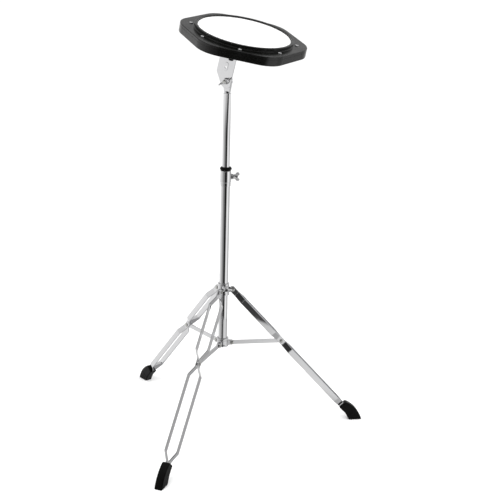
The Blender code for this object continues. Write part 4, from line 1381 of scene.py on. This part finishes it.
# ---- pad --------------------------------------------------------------------
@dataclass
class Pad:
    """The tunable pad: tray, clamping rim, film, hoop, foam, screws, insert and feet."""

    lift: float = 2 * MM
    apothem: float = 120.6 * MM
    corner_r: float = 55 * MM
    base_h: float = 13 * MM
    floor: float = 3 * MM
    wall: float = 4 * MM
    rim_top: float = 18.9 * MM
    spare: float = 3 * MM             # moulded past the joint of tray and rim and cut off
    ring_r: Point = (96.5 * MM, 102 * MM)
    ring_top: float = 26.3 * MM
    head_top: float = 23.3 * MM
    film: float = 0.5 * MM
    flat_r: float = 95.6 * MM
    head_r: float = 97.9 * MM
    bearing_r: Point = (91.2 * MM, 94.8 * MM)
    core_crown: float = 0.35 * MM
    hoop_r: Point = (98.6 * MM, 101.3 * MM)
    hoop_z: Point = (10 * MM, 14 * MM)
    screw_circle: float = 108.6 * MM
    screw_count: int = 8
    screw_r: float = 2 * MM
    screw_low: float = 4.5 * MM
    screw_head_r: float = 3.9 * MM
    screw_turn: float = radians(20)   # how the heads' crosses stand
    cross: Point = (1.9 * MM, 0.4 * MM)
    boss_r: Point = (4.8 * MM, 4.2 * MM)
    seat_r: Point = (4.6 * MM, 5 * MM)
    groove_r: Point = (84 * MM, 86 * MM)
    web: Point = (26 * MM, 79 * MM)
    web_width: float = 3 * MM
    web_count: int = 12
    relief: float = 0.7 * MM          # the depth of the grooves in the underside
    foot_circle: float = 106 * MM
    foot_count: int = 3
    foot_turn: float = radians(-97)
    foot_r: float = 6 * MM
    foot_h: float = 6.5 * MM
    insert_r: float = 9 * MM
    bolt_r: float = 4 * MM

    def build(self, shop: Workshop) -> None:
        """Make the pad's pieces."""
        self.shop = shop
        self.place = shop.frames.pad(self.lift)
        self.tray()
        self.rim()
        self.head()
        self.core()
        self.screws()
        self.insert()
        self.feet()

    def settle(self, obj: bpy.types.Object, name: str, finish: Finish, nodes: Sequence[str],
               body: str = "pad") -> bpy.types.Object:
        """Dress one of the pad's pieces and hang it on its body."""
        return self.shop.settle(obj, name, finish, body, nodes, self.place)

    def slab(self, name: str, low: float, high: float, edge: float,
             cut: Point) -> bpy.types.Object:
        """A hexagonal plate with rounded edges, less what lies between the heights in cut."""
        outline = rounded_hexagon(self.apothem, self.corner_r)
        plate = prism(name, [outline], low, high, edge, 4)
        far = 2 * self.apothem
        return combine(plate, [box((-far, -far, cut[0]), (far, far, cut[1]))], "DIFFERENCE")

    def at_screws(self, obj: bpy.types.Object, pick: int = -1) -> None:
        """Set copies of a shape at the tension screws, or one copy at the screw picked."""
        self.shop.ring.apply(obj, Count=self.screw_count, Radius=self.screw_circle,
                             Turn=-pi / 2, Pick=pick)

    def tray(self) -> None:
        """Mould the tray: ribbed underside, bearing ring, bosses and the insert's pocket."""
        height = self.base_h
        tray = self.slab("tray", 0, height + self.spare, 1.6 * MM,
                         (height, height + 2 * self.spare))
        hollow = rounded_hexagon(self.apothem - self.wall, self.corner_r - self.wall)
        combine(tray, [prism("hollow", [hollow], self.floor, height + 5 * MM)], "DIFFERENCE")
        inner, outer_r = self.bearing_r
        crest = self.head_top - self.film - GAP
        bearing = soften([(outer_r, crest), (outer_r, self.floor - MM), (inner, self.floor - MM),
                          (inner, crest)], 1.2 * MM, 4)
        boss = lathe("boss", soften([(0, height), (self.boss_r[1], height),
                                     (self.boss_r[0], self.floor - MM), (0, self.floor - MM)],
                                    0.4 * MM, 2), 24)
        self.at_screws(boss)
        insert_boss = cylinder(self.insert_r + 4 * MM, self.floor - MM, height)
        combine(tray, [lathe("bearing", bearing, 144), boss, insert_boss], "UNION")
        hole = cylinder(self.screw_r + GAP, 4 * MM, 20 * MM, steps=20)
        self.at_screws(hole)
        pocket = prism("pocket", [polygon(self.insert_r + GAP, 6)], 2 * MM, 20 * MM)
        bore = cylinder(self.bolt_r + GAP, -5 * MM, 20 * MM)
        near, far = self.groove_r
        groove = lathe("groove", [(far, self.relief), (far, -MM), (near, -MM),
                                  (near, self.relief)], 144)
        web = prism("web", [rounded_strip(*self.web, self.web_width, 8)], -MM, self.relief)
        self.shop.ring.apply(web, Count=self.web_count, Radius=0.0, Turn=pi / 12, Pick=-1)
        combine(tray, [hole, pocket, bore, groove, web], "DIFFERENCE")
        self.settle(tray, "pad_tray", BLACK_SHELL, ["pad_base"])

    def rim(self) -> None:
        """Mould the clamping rim: hexagonal flange, raised ring and sunk screw seats."""
        low = self.base_h + GAP
        rim = self.slab("rim", low - self.spare, self.rim_top, 1.1 * MM,
                        (low - 2 * self.spare, low))
        inner, ring_r = self.ring_r
        foot = self.rim_top
        ring = soften([
            (ring_r, self.ring_top), (ring_r, foot + 0.8 * MM),
            (ring_r + 1.1 * MM, foot + 0.5 * MM), (ring_r + 1.1 * MM, low + MM),
            (inner - 3 * MM, low + MM),
            (inner - 3 * MM, self.ring_top),
        ], 0.9 * MM, 4)
        combine(rim, [lathe("ring", ring, 176)], "UNION")
        lip = self.head_top + GAP
        step = self.hoop_z[1] + GAP
        below = low - 5 * MM
        above = self.ring_top + 5 * MM
        bore = [(0, above), (inner + 1.0 * MM, above), (inner + 1.0 * MM, self.ring_top),
                (inner + 0.3 * MM, self.ring_top - 0.35 * MM), (inner, self.ring_top - 1.0 * MM),
                (inner, lip), (self.head_r + GAP, lip), (self.head_r + GAP, step),
                (self.hoop_r[1] + GAP, step), (self.hoop_r[1] + GAP, below), (0, below)]
        seat = foot - 0.02 * MM
        hole = lathe("hole", [(0, 30 * MM), (self.seat_r[1], 30 * MM), (self.seat_r[0], seat),
                              (self.screw_r + GAP, seat), (self.screw_r + GAP, 5 * MM),
                              (0, 5 * MM)], 28)
        self.at_screws(hole)
        combine(rim, [lathe("bore", bore, 176), hole], "DIFFERENCE")
        self.settle(rim, "pad_rim", BLACK_SHELL, ["clamp_rim"])

    def head(self) -> None:
        """Stretch the film over the bearing edge and down into its hoop."""
        under = self.head_top - self.film
        skirt = self.hoop_z[1] + MM
        outline = soften([
            (0, self.head_top), (self.flat_r, self.head_top), (self.head_r, skirt),
            (self.head_r - self.film, skirt), (self.flat_r - self.film, under), (0, under),
        ], 1.0 * MM, 5)
        rings: Profile = []
        for (r, z), (other, other_z) in zip(outline, outline[1:] + outline[:1]):
            rings.append((r, z))
            if abs(r - other) > 30 * MM and abs(z - other_z) < 1e-6:
                rings += [(r + (other - r) * i / 12, z) for i in range(1, 12)]
        self.settle(lathe("film", rings, 160), "head_film", FILM, ["drum_head"])
        hoop = soften([(self.hoop_r[1], self.hoop_z[1]), (self.hoop_r[1], self.hoop_z[0]),
                       (self.hoop_r[0], self.hoop_z[0]), (self.hoop_r[0], self.hoop_z[1])],
                      0.8 * MM, 3)
        self.settle(lathe("hoop", hoop, 144), "film_hoop", ALUMINIUM, ["flesh_hoop"])

    def core(self) -> None:
        """Cut the foam disc, a little crowned, under the film."""
        low = self.base_h + GAP
        top = self.head_top - self.film - GAP
        radius = self.bearing_r[0] - GAP
        count = 24
        crown = [(radius * i / count * 0.985, top - self.core_crown * (i / count) ** 2)
                 for i in range(count + 1)]
        edge = [(radius, top - 1.6 * MM), (radius - 0.5 * MM, (top + low) / 2),
                (radius, low + 1.2 * MM), (radius - 1.2 * MM, low)]
        foam = lathe("foam", crown + edge + [(0, low)], 120)
        self.settle(foam, "foam_core", FOAM, ["foam_disc"])

    def screws(self) -> None:
        """Make the tension screws: domed, crossed heads and threaded shanks."""
        seat = self.rim_top + GAP
        head_r = self.screw_head_r
        crown = dome(head_r, seat + 0.6 * MM, 1.6 * MM)
        head = lathe("head", crown + [(head_r, seat), (0, seat)], 40)
        shank = threaded_rod(self.screw_r, self.screw_low, seat + 0.5 * MM,
                             Thread(self.screw_low, seat, 0.8 * MM, 0.28 * MM), 24)
        combine(head, [shank], "UNION")
        arm, half = self.cross
        for turn in (0, pi / 2):
            blade = box((-arm, -half, seat + 0.9 * MM), (arm, half, seat + 5 * MM))
            move(blade, Matrix.Rotation(turn + self.screw_turn, 4, "Z"))
            combine(head, [blade], "DIFFERENCE")
        for number in range(self.screw_count):
            screw = put("screw", head.data.copy())
            self.at_screws(screw, number)
            self.settle(screw, f"rim_screw_{number + 1}", CAST_CHROME,
                        [f"tension_screw_{number + 1}"], f"screw_{number + 1}")
        bpy.data.objects.remove(head, do_unlink=True)

    def insert(self) -> None:
        """Make the threaded insert in the tray's pocket."""
        loops = [polygon(self.insert_r, 6), polygon(self.bolt_r + GAP)]
        nut = prism("insert", loops, 2 * MM + GAP, 10 * MM, 0.5 * MM, 2)
        self.settle(nut, "threaded_insert", ZINC, ["mount_insert"])

    def feet(self) -> None:
        """Make the rubber feet under the tray, with dished ends."""
        low = -self.foot_h
        r = self.foot_r
        outline = soften([(0, -GAP), (r, -GAP), (r, -2 * MM), (r - 0.5 * MM, -2.6 * MM),
                          (r - 1.2 * MM, low), (r - 2.6 * MM, low), (r - 3.4 * MM, low + 0.9 * MM),
                          (0, low + 0.9 * MM)], 0.6 * MM, 4)
        foot = lathe("foot", outline, 48)
        for number in range(self.foot_count):
            copy = put("foot", foot.data.copy())
            self.shop.ring.apply(copy, Count=self.foot_count, Radius=self.foot_circle,
                                 Turn=self.foot_turn, Pick=number)
            self.settle(copy, f"tray_foot_{number + 1}", RUBBER, [f"pad_foot_{number + 1}"])
        bpy.data.objects.remove(foot, do_unlink=True)


# ---- studio -----------------------------------------------------------------
@dataclass
class Studio:
    """A plain white floor, soft light, the cards that the chrome mirrors, and the camera."""

    floor_r: float = 90.0
    card_r: float = 7.0
    lens: float = 79.2
    stand_off: tuple[float, float, float] = (-0.2949, -2.2101, 1.1045)
    heading: float = radians(9.003)
    pitch: float = radians(17.351)
    roll: float = radians(1.524)
    room_light: float = 1.13          # the strength of the plain white room
    floor_white: float = 0.93
    lamps: tuple = (
        ("key", (-1.6, -1.8, 3.2), 2.2, 60.0), ("fill", (2.4, -1.0, 2.4), 2.0, 22.0),
    )                                 # each lamp's name, place, size and power
    lamp_aim: tuple[float, float, float] = (0.0, 0.0, 0.5)
    sky_tones: tuple = (
        (0.0, 0.95), (0.12, 0.55), (0.3, 0.75), (0.55, 0.4), (0.84, 0.42), (0.94, 0.95),
    )                                 # the mirrored sky's tones by the sine of the height
    front_dark: float = 0.05          # the mirrored sky's share in front, toward the camera
    dark_side: Point = (radians(58), radians(40))      # where that dark part fades sideways
    dark_height: Point = (radians(42), radians(58))    # and where it fades upward
    under_tone: float = 0.42          # the card's tone close round the mast
    card_spans: tuple = (
        (0.27, 0.33), (0.65, 0.69), (3.2, 4.6),
    )                                 # the distances over which one set of tones turns to the next
    far_swing: float = radians(26)    # how far the farthest tones are turned round the mast
    card_tones: tuple = (
        ((-180, 0.95), (-115, 0.82), (-75, 0.62), (-45, 0.38), (-20, 0.26), (-14, 0.05),
         (4, 0.05), (12, 0.5), (30, 0.72), (60, 0.78), (80, 0.72), (100, 0.48), (150, 0.5),
         (170, 0.9)),
        ((-180, 1.0), (-115, 0.9), (-75, 0.62), (-45, 0.3), (-16, 0.17), (-11, 0.004),
         (9, 0.004), (16, 0.05), (27, 0.05), (36, 0.5), (44, 1.0), (78, 0.95), (93, 0.5),
         (130, 0.55), (155, 0.95)),
        ((-180, 1.0), (-80, 0.85), (-60, 0.58), (-45, 0.56), (-14, 0.5), (-9, 0.02),
         (22, 0.02), (33, 0.8), (78, 0.95), (93, 0.8), (180, 1.0)),
    )                                 # the card's tones near, half-way and far off

    def build(self, mast: Vector) -> None:
        """Set the stage.

        Args:
            mast: the foot of the mast's axis.
        """
        self.mast = mast
        self.make_camera()
        self.make_world()
        self.make_floor()
        self.make_card()
        self.make_lights()
        bpy.context.scene.view_settings.view_transform = "Standard"

    def make_camera(self) -> None:
        """Stand the camera in front of the stand, looking a little down."""
        h, p = self.heading, self.pitch
        forward = Vector((sin(h) * cos(p), cos(h) * cos(p), -sin(p)))
        right = Vector((cos(h), -sin(h), 0))
        up = right.cross(forward)
        x = right * cos(self.roll) + up * sin(self.roll)
        y = up * cos(self.roll) - right * sin(self.roll)
        data = bpy.data.cameras.new("camera")
        data.lens = self.lens
        data.clip_start = 0.05
        data.clip_end = 300
        camera = put("camera", data)
        camera.matrix_world = axes(self.mast + Vector(self.stand_off), x, y, -forward)
        bpy.context.scene.camera = camera

    def make_world(self) -> None:
        """Light the room evenly, with a graded sky for what is mirrored."""
        world = bpy.data.worlds.new("room")
        bpy.context.scene.world = world
        world.use_nodes = True
        world.node_tree.nodes.clear()
        tree = Tree(world.node_tree)
        way = tree.add("ShaderNodeTexCoord").outputs["Generated"]
        height = tree.add("ShaderNodeSeparateXYZ", {0: way}).outputs[2]
        sky = tree.add("ShaderNodeValToRGB", {"Fac": height})
        fill_ramp(sky.color_ramp, self.sky_tones)
        mirrored = tree.add("ShaderNodeBackground", {
            "Color": sky.outputs[0], "Strength": self.front_shade(tree, way, height),
        })
        plain = tree.add("ShaderNodeBackground", {
            "Color": (1, 1, 1, 1), "Strength": self.room_light,
        })
        path = tree.add("ShaderNodeLightPath")
        mixed = tree.add("ShaderNodeMixShader", {
            0: path.outputs["Is Glossy Ray"], 1: plain.outputs[0], 2: mirrored.outputs[0],
        })
        tree.add("ShaderNodeOutputWorld", {"Surface": mixed.outputs[0]})

    def front_shade(self, tree: Tree, way: bpy.types.NodeSocket,
                    height: bpy.types.NodeSocket) -> bpy.types.NodeSocket:
        """Darken the mirrored sky low in front, where the dark room is; returns the socket."""
        back = Vector((self.stand_off[0], self.stand_off[1], 0)).normalized()
        level = tree.add("ShaderNodeVectorMath", {0: way, 1: (1, 1, 0)}, operation="MULTIPLY")
        flat = tree.add("ShaderNodeVectorMath", {0: level.outputs[0]}, operation="NORMALIZE")
        toward = tree.add("ShaderNodeVectorMath", {0: flat.outputs[0], 1: tuple(back)},
                          operation="DOT_PRODUCT").outputs["Value"]
        side = self.blend(tree, toward, [cos(turn) for turn in self.dark_side], 1.0, 0.0)
        above = self.blend(tree, height, [sin(rise) for rise in self.dark_height], 0.0, 1.0)
        lit = tree.math("MAXIMUM", side, above)
        return self.blend(tree, lit, (0.0, 1.0), self.front_dark, 1.0)

    def make_floor(self) -> None:
        """Lay a plain white floor."""
        floor = lathe("floor", [(0, -0.0002), (self.floor_r, -0.0002), (self.floor_r, -0.02),
                                (0, -0.02)], 96)
        material = bpy.data.materials.new("white_floor")
        material.use_nodes = True
        shader = material.node_tree.nodes["Principled BSDF"]
        shader.inputs["Base Color"].default_value = (*[self.floor_white] * 3, 1)
        shader.inputs["Roughness"].default_value = 1.0
        shader.inputs["Specular IOR Level"].default_value = 0.0
        floor.data.materials.append(material)

    def make_card(self) -> None:
        """Lay the card that only mirrors see, toned by direction and distance."""
        card = lathe("mirror_card", [(0, 0.0006), (self.card_r, 0.0006), (self.card_r, 0.0004),
                                     (0, 0.0004)], 96)
        facing = atan2(self.stand_off[1], self.stand_off[0])
        card.matrix_world = Matrix.Translation(self.mast) @ Matrix.Rotation(facing, 4, "Z")
        material = bpy.data.materials.new("mirror_card")
        material.use_nodes = True
        material.node_tree.nodes.clear()
        tree = Tree(material.node_tree)
        place = tree.add("ShaderNodeTexCoord").outputs["Object"]
        split = tree.add("ShaderNodeSeparateXYZ", {0: place})
        reach = tree.add("ShaderNodeVectorMath", {0: place},
                         operation="LENGTH").outputs["Value"]
        swing = self.blend(tree, reach, self.card_spans[-1], 0.0, self.far_swing)
        angle = tree.math("ARCTAN2", split.outputs[1], split.outputs[0])
        turned = tree.math("SUBTRACT", angle, swing)
        share = tree.math("ADD", tree.math("DIVIDE", turned, 2 * pi), 0.5)
        tone = (*[self.under_tone] * 3, 1)
        for span, stops in zip(self.card_spans, self.card_tones):
            tone = tree.add("ShaderNodeMix", {
                "Factor": self.blend(tree, reach, span, 0.0, 1.0),
                6: tone, 7: self.tones(tree, share, stops),
            }, data_type="RGBA").outputs[2]
        glow = tree.add("ShaderNodeEmission", {"Color": tone, "Strength": 1.0})
        tree.add("ShaderNodeOutputMaterial", {"Surface": glow.outputs[0]})
        card.data.materials.append(material)
        for ray in ("camera", "diffuse", "shadow", "transmission", "volume_scatter"):
            setattr(card, "visible_" + ray, False)

    @staticmethod
    def tones(tree: Tree, share: bpy.types.NodeSocket,
              stops: Sequence[Point]) -> bpy.types.NodeSocket:
        """The card's tones by direction, in degrees from straight in front; returns the socket."""
        ramp = tree.add("ShaderNodeValToRGB", {"Fac": share})
        fill_ramp(ramp.color_ramp, [(0.5 + turn / 360, tone) for turn, tone in stops])
        return ramp.outputs[0]

    @staticmethod
    def blend(tree: Tree, value: bpy.types.NodeSocket, span: Point, low: float,
              high: float) -> bpy.types.NodeSocket:
        """Go smoothly from low to high over a span of a value; returns the socket."""
        return tree.add("ShaderNodeMapRange", {
            "Value": value, "From Min": span[0], "From Max": span[1], "To Min": low, "To Max": high,
        }, interpolation_type="SMOOTHSTEP").outputs[0]

    def make_lights(self) -> None:
        """Hang two large soft lights, which nothing mirrors."""
        for name, place, size, power in self.lamps:
            data = bpy.data.lights.new(name, "AREA")
            data.shape = "DISK"
            data.size = size
            data.energy = power
            lamp = put(name, data)
            lamp.location = self.mast + Vector(place)
            lamp.visible_glossy = False
            aim = Vector(self.lamp_aim) - Vector(place)
            lamp.rotation_mode = "QUATERNION"
            lamp.rotation_quaternion = aim.to_track_quat("-Z", "Y")


def fill_ramp(ramp: bpy.types.ColorRamp, tones: Sequence[Point]) -> None:
    """Set a colour ramp's stops to grey tones.

    Args:
        ramp: the ramp to change.
        tones: each stop's position and tone.
    """
    while len(ramp.elements) > 1:
        ramp.elements.remove(ramp.elements[-1])
    ramp.elements[0].position = tones[0][0]
    ramp.elements[0].color = (*[tones[0][1]] * 3, 1)
    for position, tone in tones[1:]:
        ramp.elements.new(position).color = (tone, tone, tone, 1)


def main() -> None:
    """Build every sub-assembly in order and set the stage."""
    logging.basicConfig(level=logging.INFO, format="%(name)s %(message)s")
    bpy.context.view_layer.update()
    shop = Workshop()
    Mast().build(shop)
    Hub().build(shop)
    for number in range(1, LEG_COUNT + 1):
        Leg(number).build(shop)
        Stay(number).build(shop)
    Tilter().build(shop)
    Pad().build(shop)
    Studio().build(shop.frames.mast.translation)
    LOG.info("%d pieces made", shop.count)


if __name__ == "__main__":
    main()
